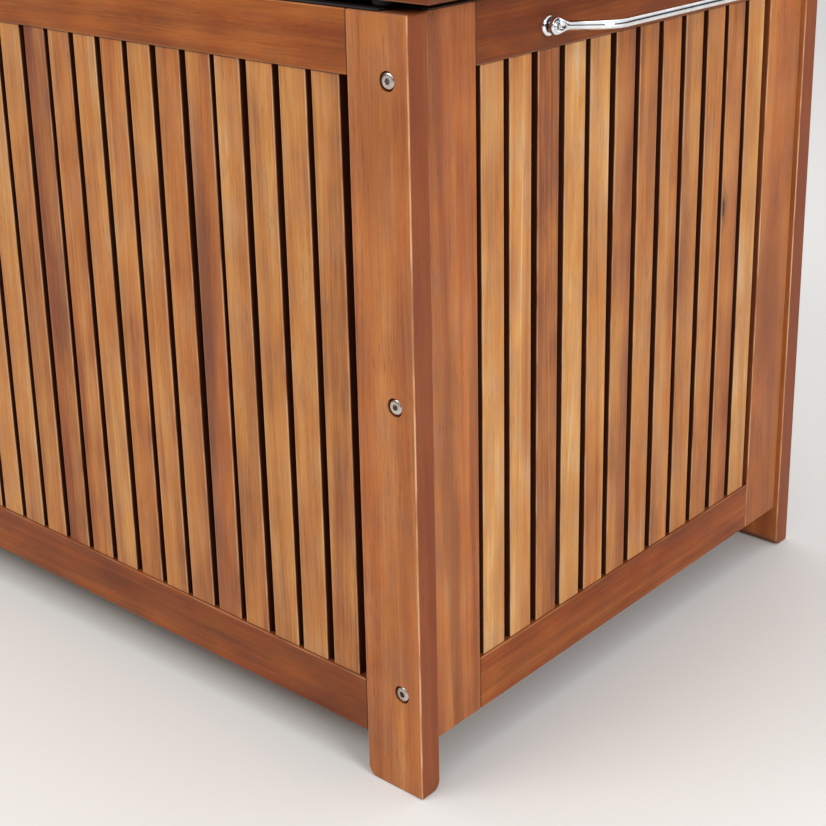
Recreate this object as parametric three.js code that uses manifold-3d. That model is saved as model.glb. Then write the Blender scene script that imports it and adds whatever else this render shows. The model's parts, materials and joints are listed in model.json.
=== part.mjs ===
// Deck storage box: a slatted hardwood chest on four plank posts, with a hinged lid, two gas struts,
// two chrome carrying handles and a black fabric liner.
// Millimetres, +Z up. The origin is on the floor under the middle of the box, +X runs along its length
// and the front faces -Y.
import * as THREE from 'three';
import { mergeVertices } from 'three/addons/utils/BufferGeometryUtils.js';
import Module from 'manifold-3d';

const wasm = await Module();
wasm.setup();

// Body
const BODY_LENGTH = 1130;
const BODY_DEPTH = 504;
const POST_HEIGHT = 540;
const POST_WIDTH = 50;
const PANEL_THICK = 19;
const FOOT_RADIUS = 5;
const END_RECESS = 4;
const STILE_WIDTH = 50;
const RAIL_HEIGHT = 41;
const FRONT_CLEARANCE = 35;
const END_CLEARANCE = 37;
const FIT = 0.25;
const OVERRUN = 1;

// How many flats the round shapes are drawn with
const WIDE_ROUND = 20;
const ROUND = 14;
const FINE_ROUND = 12;
const HEXAGON = 6;
const FOOT_ARC_STEPS = 3;
const BAR_ARC_STEPS = 4;
const WELD_DISTANCE = 1e-4;

// Slats, let into grooves in the rails
const SLAT_WIDTH = 24;
const SLAT_GAP = 6;
const SLAT_THICK = 16;
const LONG_SLATS = 34;
const END_SLATS = 12;
const LID_SLATS = 35;
const TONGUE_THICK = 9;
const TONGUE_DEPTH = 8;

// Lid
const LID_LENGTH = 1164;
const LID_THICK = 30;
const LID_GAP = 7;
const LID_RAIL_WIDTH = 55;
const LID_SLAT_THICK = 15;
const LID_SLAT_RECESS = 1.5;

// Floor
const CLEAT_HEIGHT = 20;
const CLEAT_BASE = 37.75;
const FLOOR_BOARDS = 18;
const FLOOR_BOARD_WIDTH = 50;
const FLOOR_BOARD_GAP = 10;
const FLOOR_BOARD_THICK = 12;
const FLOOR_BATTEN_WIDTH = 30;
const FLOOR_BATTEN_THICK = 10;
const FLOOR_BATTEN_OFFSET = 110;
const FLOOR_END_GAP = 1.5;

// Liner
const LINER_THICK = 2;
const LINER_FLANGE_THICK = 1.5;
const LINER_FLANGE_SETBACK = 1.5;
const LINER_REAR_DROP = 4;
const LINER_FLAP_INSET = 1;

// Bolts through the posts into the end panels
const BOLT_INSET = 17;
const BOLT_HEIGHTS = [77, 288, 499];
const BOLT_HEAD_RADIUS = 5.75;
const BOLT_HEAD_HEIGHT = 3.4;
const BOLT_CROWN_RADIUS = 3.4;
const BOLT_SHANK_RADIUS = 3;
const BOLT_SHANK_LENGTH = 58;
const BOLT_TIP_TAPER = 1;
const BOLT_TIP_LENGTH = 2;
const BOLT_RIM_HEIGHT = 1.13;
const BOLT_SOCKET_RADIUS = 2.3;
const BOLT_SOCKET_DEPTH = 2;
const COUNTERBORE_RADIUS = 6.75;
const COUNTERBORE_DEPTH = 4;
const BOLT_HOLE_RADIUS = 3.5;

// Handles
const HANDLE_HEIGHT = 515;
const HANDLE_CENTRES = 221;
const HANDLE_REACH = 36.5;
const HANDLE_BEND_INSET = 28.5;
const HANDLE_BEND_SHARE = 0.28;
const HANDLE_BEND_REACH = 10;
const HANDLE_STEPS = 30;
const HANDLE_RADIUS = 3.25;
const ROSETTE_RADIUS = 7.25;
const ROSETTE_THICK = 3.5;
const NECK_RADIUS = 4;
const NECK_LENGTH = 1.5;
const EYELET_RADIUS = 5.75;
const EYELET_THICK = 4;

// Hinges
const HINGE_AXIS_Y = 249;
const HINGE_AXIS_Z = POST_HEIGHT + LID_GAP / 2;
const HINGE_OFFSET = 380;
const HINGE_LENGTH = 70;
const HINGE_KNUCKLES = 5;
const KNUCKLE_RADIUS = 3;
const KNUCKLE_BORE = 1.75;
const KNUCKLE_GAP = 0.5;
const PIN_RADIUS = 1.5;
const LEAF_THICK = 1.5;
const LEAF_FRONT = 233.25;
const LEAF_EDGE = 245.5;

// Gas struts
const STRUT_X = 527;
const STRUT_LOWER = { y: 205, z: 385 };
const STRUT_UPPER = { y: 179, z: 525.5 };
const TUBE_RADIUS = 7.5;
const TUBE_START = 12;
const TUBE_END = 126;
const TUBE_BORE_START = 20;
const TUBE_BORE_RADIUS = 3.75;
const ROD_RADIUS = 3;
const ROD_START = 28;
const EYE_RADIUS = 7;
const EYE_THICK = 10;
const EYE_BORE_RADIUS = 4.5;
const EYE_BORE_DEPTH = 8;
const EYE_NECK_RADIUS = 4;
const EYE_NECK_OVERLAP = 2;
const STUD_RADIUS = 4;
const BRACKET_THICK = 2;
const BRACKET_X = 538.75;
const LOWER_PLATE_HALF_WIDTH = 15;
const LOWER_PLATE_HALF_HEIGHT = 20;
const STUD_END_GAP = 0.5;
const UPPER_PLATE_AHEAD = 13;
const UPPER_PLATE_BEHIND = 26;
const UPPER_PLATE_BELOW = 12;
const STRUT_PIN_RADIUS = 3;
const SLOT_TRAVEL = 13.25;
const SLOT_CLEAR = 0.5;
const SLOT_BELOW = 1.25;
const SLOT_ABOVE = 3.75;

// Rubber pads under the lid
const BUMPER_RADIUS = 7;
const BUMPER_X = 538;
const BUMPER_Y = -242;
const BUMPER_THICK = 4.5;

const HALF_LENGTH = BODY_LENGTH / 2;
const HALF_DEPTH = BODY_DEPTH / 2;
const POST_INNER_X = HALF_LENGTH - POST_WIDTH;
const PANEL_INNER_Y = HALF_DEPTH - PANEL_THICK;
const END_FACE_X = HALF_LENGTH - END_RECESS;
const END_INNER_X = END_FACE_X - PANEL_THICK;
const LID_BASE = POST_HEIGHT + LID_GAP;
const LID_TOP = LID_BASE + LID_THICK;
const SLAT_PITCH = SLAT_WIDTH + SLAT_GAP;

const finishes = {
  post: new THREE.MeshStandardMaterial({ color: 0xb8744a, roughness: 0.5, metalness: 0 }),
  rail: new THREE.MeshStandardMaterial({ color: 0x9a5638, roughness: 0.5, metalness: 0 }),
  slat: new THREE.MeshStandardMaterial({ color: 0xc08a5c, roughness: 0.55, metalness: 0 }),
  inner: new THREE.MeshStandardMaterial({ color: 0x8f6446, roughness: 0.7, metalness: 0 }),
  chrome: new THREE.MeshStandardMaterial({ color: 0xe2e4e6, roughness: 0.08, metalness: 1 }),
  steel: new THREE.MeshStandardMaterial({ color: 0xa9a6a2, roughness: 0.32, metalness: 1 }),
  black: new THREE.MeshStandardMaterial({ color: 0x1b1b1c, roughness: 0.4, metalness: 0.2 }),
  rubber: new THREE.MeshStandardMaterial({ color: 0x151515, roughness: 0.85, metalness: 0 }),
  fabric: new THREE.MeshStandardMaterial({ color: 0x141314, roughness: 0.8, metalness: 0 }),
};

// ---- Solids -------------------------------------------------------------------------------------

// A closed geometry as a solid that can be joined and cut.
function solidOf(geometry) {
  const bare = geometry.clone();
  bare.deleteAttribute('normal');
  bare.deleteAttribute('uv');
  const merged = mergeVertices(bare, WELD_DISTANCE);
  return new wasm.Manifold(new wasm.Mesh({
    numProp: 3,
    vertProperties: merged.attributes.position.array,
    triVerts: new Uint32Array(merged.index.array),
  }));
}

// A solid back as a geometry that a mesh can draw.
function geometryOf(solid) {
  const cut = solid.getMesh();
  const geometry = new THREE.BufferGeometry();
  geometry.setAttribute('position', new THREE.BufferAttribute(cut.vertProperties, 3));
  geometry.setIndex(new THREE.BufferAttribute(cut.triVerts, 1));
  geometry.computeVertexNormals();
  return geometry;
}

// A board between two opposite corners.
function block(a, b) {
  const size = a.map((value, i) => Math.abs(b[i] - value));
  const middle = a.map((value, i) => (value + b[i]) / 2);
  return solidOf(new THREE.BoxGeometry(...size).translate(...middle));
}

// A round bar between two points.
function bar(radius, from, to, sides = WIDE_ROUND) {
  const start = new THREE.Vector3(...from);
  const along = new THREE.Vector3(...to).sub(start);
  const geometry = new THREE.CylinderGeometry(radius, radius, along.length(), sides);
  const turn = new THREE.Quaternion().setFromUnitVectors(
    new THREE.Vector3(0, 1, 0),
    along.clone().normalize(),
  );
  geometry.applyQuaternion(turn);
  geometry.translate(...start.addScaledVector(along, 0.5));
  return solidOf(geometry);
}

function join(solids) {
  return solids.reduce((whole, next) => whole.add(next));
}

function cut(solid, cutters) {
  return cutters.reduce((rest, cutter) => rest.subtract(cutter), solid);
}

function piece(name, solid, finish) {
  const mesh = new THREE.Mesh(geometryOf(solid), finish);
  mesh.name = name;
  return mesh;
}

// ---- Posts and bolts ----------------------------------------------------------------------------

// The outline of a plank standing on end, with its two bottom corners rounded.
function footOutline(low, high) {
  const outline = new THREE.Shape();
  const r = FOOT_RADIUS;
  outline.moveTo(low + r, 0);
  outline.lineTo(high - r, 0);
  outline.absarc(high - r, r, r, -Math.PI / 2, 0, false);
  outline.lineTo(high, POST_HEIGHT);
  outline.lineTo(low, POST_HEIGHT);
  outline.absarc(low + r, r, r, Math.PI, Math.PI * 1.5, false);
  return outline;
}

// An outline drawn in X and Z, as a plate from y = low to y = high.
function frontPlate(outline, low, high) {
  const plate = new THREE.ExtrudeGeometry(outline, {
    depth: high - low,
    bevelEnabled: false,
    curveSegments: FOOT_ARC_STEPS,
  });
  return solidOf(plate.rotateX(Math.PI / 2).translate(0, high, 0));
}

// An outline drawn in Y and Z, as a plate from x = low to x = high.
function sidePlate(outline, low, high) {
  const plate = new THREE.ExtrudeGeometry(outline, {
    depth: high - low,
    bevelEnabled: false,
    curveSegments: FOOT_ARC_STEPS,
  });
  const turn = new THREE.Matrix4().makeBasis(
    new THREE.Vector3(0, 1, 0),
    new THREE.Vector3(0, 0, 1),
    new THREE.Vector3(1, 0, 0),
  );
  return solidOf(plate.applyMatrix4(turn).translate(low, 0, 0));
}

function boltX(side) {
  return side * (HALF_LENGTH - BOLT_INSET);
}

// side is 1 on the right and -1 on the left; face is -1 at the front and 1 at the back.
function post(name, side, face) {
  const xs = [side * HALF_LENGTH, side * POST_INNER_X].sort((a, b) => a - b);
  const ys = [face * HALF_DEPTH, face * PANEL_INNER_Y].sort((a, b) => a - b);
  const plank = frontPlate(footOutline(...xs), ...ys).intersect(sidePlate(footOutline(...ys), ...xs));
  const x = boltX(side);
  const seat = face * (HALF_DEPTH - COUNTERBORE_DEPTH);
  const holes = BOLT_HEIGHTS.flatMap((z) => [
    bar(COUNTERBORE_RADIUS, [x, face * (HALF_DEPTH + OVERRUN), z], [x, seat, z]),
    bar(
      BOLT_HOLE_RADIUS,
      [x, seat + face * OVERRUN, z],
      [x, face * (PANEL_INNER_Y - OVERRUN), z],
      FINE_ROUND,
    ),
  ]);
  return piece(name, cut(plank, holes), finishes.post);
}

// A button head bolt with a hexagon socket, its head at +Y and the underside of the head at y = 0.
function boltSolid() {
  const outline = [
    [0, -BOLT_SHANK_LENGTH],
    [BOLT_SHANK_RADIUS - BOLT_TIP_TAPER, -BOLT_SHANK_LENGTH],
    [BOLT_SHANK_RADIUS, -BOLT_SHANK_LENGTH + BOLT_TIP_LENGTH],
    [BOLT_SHANK_RADIUS, 0],
    [BOLT_HEAD_RADIUS, 0],
    [BOLT_HEAD_RADIUS, BOLT_RIM_HEIGHT],
    [BOLT_CROWN_RADIUS, BOLT_HEAD_HEIGHT],
    [0, BOLT_HEAD_HEIGHT],
  ].map(([r, y]) => new THREE.Vector2(r, y));
  const turned = solidOf(new THREE.LatheGeometry(outline, ROUND));
  const top = BOLT_HEAD_HEIGHT;
  const socket = bar(
    BOLT_SOCKET_RADIUS,
    [0, top - BOLT_SOCKET_DEPTH, 0],
    [0, top + OVERRUN, 0],
    HEXAGON,
  );
  return turned.subtract(socket);
}

function bolt(name, side, face, z) {
  const mesh = piece(name, boltSolid(), finishes.steel);
  mesh.position.set(boltX(side), face * (HALF_DEPTH - COUNTERBORE_DEPTH + FIT), z);
  mesh.rotation.x = face > 0 ? 0 : Math.PI;
  return mesh;
}

// ---- Slatted panels -----------------------------------------------------------------------------

// Which axis (0 for X, 1 for Y, 2 for Z) a row of slats is spread along, which one each slat runs along,
// and which one its thickness lies on.
const LONG_PANEL = { row: 0, run: 2, thick: 1 };
const END_PANEL = { row: 1, run: 2, thick: 0 };
const LID_PANEL = { row: 0, run: 1, thick: 2 };

function corner(axes, row, run, thick) {
  const point = [0, 0, 0];
  point[axes.row] = row;
  point[axes.run] = run;
  point[axes.thick] = thick;
  return point;
}

function halfRow(count) {
  return (count * SLAT_PITCH - SLAT_GAP) / 2;
}

// A row of slats between two rails, glued to a tongue at each end that sits in the rail's groove.
function slatRow(axes, count, [runLow, runHigh], [thickLow, thickHigh]) {
  const half = halfRow(count);
  const middle = (thickLow + thickHigh) / 2;
  const slats = Array.from({ length: count }, (_, i) => {
    const start = i * SLAT_PITCH - half;
    return block(
      corner(axes, start, runLow + FIT, thickLow),
      corner(axes, start + SLAT_WIDTH, runHigh - FIT, thickHigh),
    );
  });
  const tongues = [
    [runLow - TONGUE_DEPTH, runLow + FIT],
    [runHigh - FIT, runHigh + TONGUE_DEPTH],
  ].map(([from, to]) => block(
    corner(axes, -half, from, middle - TONGUE_THICK / 2),
    corner(axes, half, to, middle + TONGUE_THICK / 2),
  ));
  return join([...slats, ...tongues]);
}

// A rail with a groove for the tongue: into is the way into the rail from its edge, 1 or -1.
function grooved(rail, axes, count, edge, into, middle) {
  const half = halfRow(count) + FIT;
  const groove = block(
    corner(axes, -half, edge - into * OVERRUN, middle - TONGUE_THICK / 2 - FIT),
    corner(axes, half, edge + into * (TONGUE_DEPTH + FIT), middle + TONGUE_THICK / 2 + FIT),
  );
  return cut(rail, [groove]);
}

// The front panel (face is -1) or the back one (face is 1): two rails and the slats between them.
function longPanel(name, face) {
  const rim = face * HALF_DEPTH;
  const inner = face * PANEL_INNER_Y;
  const middle = (rim + inner) / 2;
  const half = POST_INNER_X - FIT;
  const lowEdge = FRONT_CLEARANCE + RAIL_HEIGHT;
  const highEdge = POST_HEIGHT - RAIL_HEIGHT;
  const bottom = block([-half, rim, FRONT_CLEARANCE], [half, inner, lowEdge]);
  const top = block([-half, rim, highEdge], [half, inner, POST_HEIGHT]);
  const thickness = [middle - SLAT_THICK / 2, middle + SLAT_THICK / 2];
  const slats = slatRow(LONG_PANEL, LONG_SLATS, [lowEdge, highEdge], thickness);
  const bottomRail = grooved(bottom, LONG_PANEL, LONG_SLATS, lowEdge, -1, middle);
  const topRail = grooved(top, LONG_PANEL, LONG_SLATS, highEdge, 1, middle);
  const panel = new THREE.Group();
  panel.add(
    piece(`${name}_bottom_rail`, bottomRail, finishes.rail),
    piece(`${name}_top_rail`, topRail, finishes.rail),
    piece(`${name}_slats`, slats, finishes.slat),
  );
  return panel;
}

// An end panel: side is 1 on the right and -1 on the left.
function endPanel(name, side) {
  const rim = side * END_FACE_X;
  const inner = side * END_INNER_X;
  const middle = (rim + inner) / 2;
  const stileEdge = PANEL_INNER_Y - STILE_WIDTH;
  const half = stileEdge - FIT;
  const lowEdge = END_CLEARANCE + RAIL_HEIGHT;
  const highEdge = POST_HEIGHT - RAIL_HEIGHT;
  const bottom = block([rim, -half, END_CLEARANCE], [inner, half, lowEdge]);
  const top = block([rim, -half, highEdge], [inner, half, POST_HEIGHT]);
  const thickness = [middle - SLAT_THICK / 2, middle + SLAT_THICK / 2];
  const slats = slatRow(END_PANEL, END_SLATS, [lowEdge, highEdge], thickness);
  const bottomRail = grooved(bottom, END_PANEL, END_SLATS, lowEdge, -1, middle);
  const topRail = grooved(top, END_PANEL, END_SLATS, highEdge, 1, middle);
  const panel = new THREE.Group();
  panel.add(
    piece(`${name}_bottom_rail`, bottomRail, finishes.rail),
    piece(`${name}_top_rail`, topRail, finishes.rail),
    piece(`${name}_slats`, slats, finishes.slat),
  );
  for (const [place, face] of [['front', -1], ['rear', 1]]) {
    const outer = face * (PANEL_INNER_Y - FIT);
    const plank = block([rim, face * stileEdge, END_CLEARANCE], [inner, outer, POST_HEIGHT]);
    const boltEnd = face * (HALF_DEPTH - COUNTERBORE_DEPTH - BOLT_SHANK_LENGTH - OVERRUN);
    const holes = BOLT_HEIGHTS.map((z) => bar(
      BOLT_HOLE_RADIUS,
      [boltX(side), outer + face * OVERRUN, z],
      [boltX(side), boltEnd, z],
      FINE_ROUND,
    ));
    panel.add(piece(`${name}_${place}_stile`, cut(plank, holes), finishes.post));
  }
  return panel;
}

// ---- Floor and liner ----------------------------------------------------------------------------

const CLEAT_TOP = CLEAT_BASE + CLEAT_HEIGHT;
const FLOOR_BASE = CLEAT_TOP + FIT;
const FLOOR_TOP = FLOOR_BASE + FLOOR_BOARD_THICK;

function cleat(name, face) {
  const outer = face * (PANEL_INNER_Y - FIT);
  const half = END_INNER_X - 2 * FIT;
  const strip = block([-half, outer, CLEAT_BASE], [half, outer - face * CLEAT_HEIGHT, CLEAT_TOP]);
  return piece(name, strip, finishes.inner);
}

// Boards from front to back, stapled to two battens that run under them.
function floorPanel() {
  const pitch = FLOOR_BOARD_WIDTH + FLOOR_BOARD_GAP;
  const half = (FLOOR_BOARDS * pitch - FLOOR_BOARD_GAP) / 2;
  const reach = PANEL_INNER_Y - FLOOR_END_GAP;
  const boards = Array.from({ length: FLOOR_BOARDS }, (_, i) => block(
    [i * pitch - half, -reach, FLOOR_BASE],
    [i * pitch - half + FLOOR_BOARD_WIDTH, reach, FLOOR_TOP],
  ));
  const battens = [-1, 1].map((face) => block(
    [-half, face * FLOOR_BATTEN_OFFSET - FLOOR_BATTEN_WIDTH / 2, FLOOR_BASE - FLOOR_BATTEN_THICK],
    [half, face * FLOOR_BATTEN_OFFSET + FLOOR_BATTEN_WIDTH / 2, FLOOR_BASE],
  ));
  return piece('floor_boards', join([...boards, ...battens]), finishes.inner);
}

// An open-topped bag that lines the box, with a flap that lies on the front and end rails.
function liner() {
  const outerX = END_INNER_X - 2 * FIT;
  const outerY = PANEL_INNER_Y - 2 * FIT;
  const innerX = outerX - LINER_THICK;
  const innerY = outerY - LINER_THICK;
  const base = FLOOR_TOP + FIT;
  const flapBase = POST_HEIGHT + FIT;
  const rim = flapBase + LINER_FLANGE_THICK;
  const bag = block([-outerX, -outerY, base], [outerX, outerY, rim]);
  const flapX = HALF_LENGTH - LINER_FLANGE_SETBACK;
  const flapFront = -HALF_DEPTH + LINER_FLANGE_SETBACK;
  const flapEnd = innerY - LINER_FLAP_INSET;
  const flap = block([-flapX, flapFront, flapBase], [flapX, flapEnd, rim]);
  const hollow = block([-innerX, -innerY, base + LINER_THICK], [innerX, innerY, rim + OVERRUN]);
  const rear = block(
    [-outerX - OVERRUN, flapEnd, POST_HEIGHT - LINER_REAR_DROP],
    [outerX + OVERRUN, outerY + OVERRUN, rim + OVERRUN],
  );
  return piece('liner', cut(bag.add(flap), [hollow, rear]), finishes.fabric);
}

// ---- Lid ----------------------------------------------------------------------------------------

function bumper(name, side) {
  const x = side * BUMPER_X;
  const top = LID_BASE - FIT;
  const pad = bar(BUMPER_RADIUS, [x, BUMPER_Y, top - BUMPER_THICK], [x, BUMPER_Y, top]);
  return piece(name, pad, finishes.rubber);
}

function lidFrame() {
  const halfLength = LID_LENGTH / 2;
  const innerX = halfLength - LID_RAIL_WIDTH;
  const innerY = HALF_DEPTH - LID_RAIL_WIDTH;
  const slatTop = LID_TOP - LID_SLAT_RECESS;
  const middle = slatTop - LID_SLAT_THICK / 2;
  const lid = new THREE.Group();
  for (const [place, face] of [['front', -1], ['rear', 1]]) {
    const edge = face * innerY;
    const plank = block([-halfLength, face * HALF_DEPTH, LID_BASE], [halfLength, edge, LID_TOP]);
    const rail = grooved(plank, LID_PANEL, LID_SLATS, edge, face, middle);
    lid.add(piece(`lid_${place}_rail`, rail, finishes.rail));
  }
  for (const [place, side] of [['left', -1], ['right', 1]]) {
    const rail = block(
      [side * halfLength, -innerY + FIT, LID_BASE],
      [side * innerX, innerY - FIT, LID_TOP],
    );
    lid.add(piece(`lid_${place}_rail`, rail, finishes.post));
    lid.add(bumper(`lid_${place}_bumper`, side));
  }
  const thickness = [slatTop - LID_SLAT_THICK, slatTop];
  const slats = slatRow(LID_PANEL, LID_SLATS, [-innerY, innerY], thickness);
  lid.add(piece('lid_slats', slats, finishes.slat));
  return lid;
}

// ---- Hinges -------------------------------------------------------------------------------------

function onHingeAxis(x) {
  return [x, HINGE_AXIS_Y, HINGE_AXIS_Z];
}

// One leaf of a butt hinge: a strip and every second knuckle, starting with the one numbered first.
function leaf(name, x, low, first) {
  const start = x - HINGE_LENGTH / 2;
  const length = HINGE_LENGTH / HINGE_KNUCKLES;
  const high = low + LEAF_THICK;
  const parts = [block([start, LEAF_FRONT, low], [start + HINGE_LENGTH, LEAF_EDGE, high])];
  for (let i = first; i < HINGE_KNUCKLES; i += 2) {
    const from = start + i * length + KNUCKLE_GAP / 2;
    const to = start + (i + 1) * length - KNUCKLE_GAP / 2;
    parts.push(
      bar(KNUCKLE_RADIUS, onHingeAxis(from), onHingeAxis(to), ROUND),
      block([from, LEAF_EDGE - OVERRUN, low], [to, HINGE_AXIS_Y, high]),
    );
  }
  const bore = bar(
    KNUCKLE_BORE,
    onHingeAxis(start - OVERRUN),
    onHingeAxis(start + HINGE_LENGTH + OVERRUN),
    FINE_ROUND,
  );
  return piece(name, cut(join(parts), [bore]), finishes.steel);
}

function hinge(name, side) {
  const x = side * HINGE_OFFSET;
  const half = HINGE_LENGTH / 2;
  const pin = bar(PIN_RADIUS, onHingeAxis(x - half), onHingeAxis(x + half), FINE_ROUND);
  const set = new THREE.Group();
  set.add(
    leaf(`${name}_hinge_body_leaf`, x, POST_HEIGHT + FIT, 0),
    leaf(`${name}_hinge_lid_leaf`, x, LID_BASE - FIT - LEAF_THICK, 1),
    piece(`${name}_hinge_pin`, pin, finishes.steel),
  );
  return set;
}

// ---- Gas struts ---------------------------------------------------------------------------------

// A round end fitting at a point on the strut's own axis.
function strutEye(at) {
  return bar(EYE_RADIUS, [-EYE_THICK / 2, at, 0], [EYE_THICK / 2, at, 0]);
}

// The strut lies in its own frame: the lower pivot at the origin and the strut along +Y.
function strut(name, side) {
  const rise = STRUT_UPPER.z - STRUT_LOWER.z;
  const run = STRUT_UPPER.y - STRUT_LOWER.y;
  const length = Math.hypot(rise, run);
  const wall = side * EYE_THICK / 2;
  const bore = bar(
    EYE_BORE_RADIUS,
    [wall + side * OVERRUN, 0, 0],
    [wall - side * EYE_BORE_DEPTH, 0, 0],
    ROUND,
  );
  const neckStart = EYE_RADIUS - EYE_NECK_OVERLAP;
  const neckEnd = length - neckStart;
  const tube = join([
    strutEye(0),
    bar(EYE_NECK_RADIUS, [0, neckStart, 0], [0, TUBE_START + OVERRUN, 0], FINE_ROUND),
    bar(TUBE_RADIUS, [0, TUBE_START, 0], [0, TUBE_END, 0]),
  ]);
  const tubeBore = bar(
    TUBE_BORE_RADIUS,
    [0, TUBE_BORE_START, 0],
    [0, TUBE_END + OVERRUN, 0],
    ROUND,
  );
  const pinEnd = side * (BRACKET_X - STRUT_X);
  const rod = join([
    strutEye(length),
    bar(EYE_NECK_RADIUS, [0, length - 2 * EYE_RADIUS, 0], [0, neckEnd, 0], FINE_ROUND),
    bar(ROD_RADIUS, [0, ROD_START, 0], [0, length - EYE_RADIUS, 0], FINE_ROUND),
    bar(STRUT_PIN_RADIUS, [wall - side * OVERRUN, length, 0], [pinEnd, length, 0], FINE_ROUND),
  ]);
  const group = new THREE.Group();
  group.position.set(side * STRUT_X, STRUT_LOWER.y, STRUT_LOWER.z);
  group.rotation.x = Math.atan2(rise, run);
  group.add(
    piece(`${name}_strut_cylinder`, cut(tube, [bore, tubeBore]), finishes.black),
    piece(`${name}_strut_rod`, rod, finishes.chrome),
  );
  return group;
}

// A plate on the end panel with a stud that the cylinder turns on.
function lowerBracket(name, side) {
  const { y, z } = STRUT_LOWER;
  const outer = side * BRACKET_X;
  const inner = side * (BRACKET_X - BRACKET_THICK);
  const studEnd = side * (STRUT_X + EYE_THICK / 2 - EYE_BORE_DEPTH + STUD_END_GAP);
  const plate = block(
    [outer, y - LOWER_PLATE_HALF_WIDTH, z - LOWER_PLATE_HALF_HEIGHT],
    [inner, y + LOWER_PLATE_HALF_WIDTH, z + LOWER_PLATE_HALF_HEIGHT],
  );
  const stud = bar(STUD_RADIUS, [outer - side * OVERRUN, y, z], [studEnd, y, z], ROUND);
  return piece(`${name}_strut_lower_bracket`, plate.add(stud), finishes.steel);
}

// An angle under the lid, with a slot that the rod's pin slides in as the lid turns.
function upperBracket(name, side) {
  const { y, z } = STRUT_UPPER;
  const outer = side * BRACKET_X;
  const inner = side * (BRACKET_X - BRACKET_THICK);
  const top = LID_BASE - FIT;
  const footX = side * (LID_LENGTH / 2 - LID_RAIL_WIDTH + FIT);
  const pinRoom = STRUT_PIN_RADIUS + SLOT_CLEAR;
  const ahead = y - UPPER_PLATE_AHEAD;
  const behind = y + UPPER_PLATE_BEHIND;
  const web = block([outer, ahead, z - UPPER_PLATE_BELOW], [inner, behind, top]);
  const foot = block([outer, ahead, top - BRACKET_THICK], [footX, behind, top]);
  const slot = block(
    [outer + side * OVERRUN, y - pinRoom, z - SLOT_BELOW - pinRoom],
    [inner - side * OVERRUN, y + SLOT_TRAVEL + pinRoom, z + SLOT_ABOVE + pinRoom],
  );
  return piece(`${name}_strut_upper_bracket`, cut(web.add(foot), [slot]), finishes.steel);
}

// ---- Handles ------------------------------------------------------------------------------------

// A round bar bent outwards at both ends, flattened to an eyelet that is screwed on over a round base.
function handle(name, side) {
  const face = END_FACE_X + FIT;
  const z = HANDLE_HEIGHT;
  const gripX = END_FACE_X + HANDLE_REACH;
  const gripY = HANDLE_CENTRES / 2 - HANDLE_BEND_INSET;
  const footX = face + ROSETTE_THICK + NECK_LENGTH + EYELET_THICK / 2;
  const footY = HANDLE_CENTRES / 2;
  const at = (x, y) => new THREE.Vector3(side * x, y, z);
  // Where each bend starts and ends, on the way from the foot at y = footY to the grip.
  const bendX = gripX - (gripX - footX) * HANDLE_BEND_SHARE;
  const bendY = gripY + (footY - gripY) * HANDLE_BEND_SHARE;
  const gripEnd = gripY - HANDLE_BEND_REACH;
  const bend = (from, over, to) => new THREE.QuadraticBezierCurve3(from, over, to);
  const route = new THREE.CurvePath();
  route.add(new THREE.LineCurve3(at(footX, -footY), at(bendX, -bendY)));
  route.add(bend(at(bendX, -bendY), at(gripX, -gripY), at(gripX, -gripEnd)));
  route.add(new THREE.LineCurve3(at(gripX, -gripEnd), at(gripX, gripEnd)));
  route.add(bend(at(gripX, gripEnd), at(gripX, gripY), at(bendX, bendY)));
  route.add(new THREE.LineCurve3(at(bendX, bendY), at(footX, footY)));
  const section = new THREE.Shape().absarc(0, 0, HANDLE_RADIUS, 0, 2 * Math.PI, false);
  const grip = solidOf(new THREE.ExtrudeGeometry(section, {
    steps: HANDLE_STEPS,
    curveSegments: BAR_ARC_STEPS,
    extrudePath: route,
    bevelEnabled: false,
  }));
  const ends = [-footY, footY].flatMap((y) => {
    const base = face + ROSETTE_THICK;
    const neck = base + NECK_LENGTH;
    return [
      bar(ROSETTE_RADIUS, [side * face, y, z], [side * base, y, z]),
      bar(
        NECK_RADIUS,
        [side * (base - OVERRUN), y, z],
        [side * (neck + OVERRUN), y, z],
        FINE_ROUND,
      ),
      bar(EYELET_RADIUS, [side * neck, y, z], [side * (neck + EYELET_THICK), y, z]),
    ];
  });
  return piece(name, join([grip, ...ends]), finishes.chrome);
}

// ---- Assembly -----------------------------------------------------------------------------------

const box = new THREE.Group();
const body = new THREE.Group();
const lid = new THREE.Group();

for (const [place, face] of [['front', -1], ['rear', 1]]) {
  for (const [end, side] of [['left', -1], ['right', 1]]) {
    body.add(post(`${place}_${end}_post`, side, face));
    BOLT_HEIGHTS.forEach((z, i) => {
      const level = ['lower', 'middle', 'upper'][i];
      body.add(bolt(`${place}_${end}_${level}_bolt`, side, face, z));
    });
  }
  body.add(cleat(`floor_${place}_cleat`, face));
}
body.add(longPanel('front', -1), longPanel('back', 1), floorPanel(), liner());
lid.add(lidFrame());
for (const [end, side] of [['left', -1], ['right', 1]]) {
  body.add(endPanel(`${end}_end`, side), handle(`${end}_handle`, side), lowerBracket(end, side));
  lid.add(upperBracket(end, side));
  box.add(hinge(end, side), strut(end, side));
}
box.add(body, lid);

export default box;
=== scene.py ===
import json
import math
import random

import bmesh
import bpy
from mathutils import Matrix, Vector, noise


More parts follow.
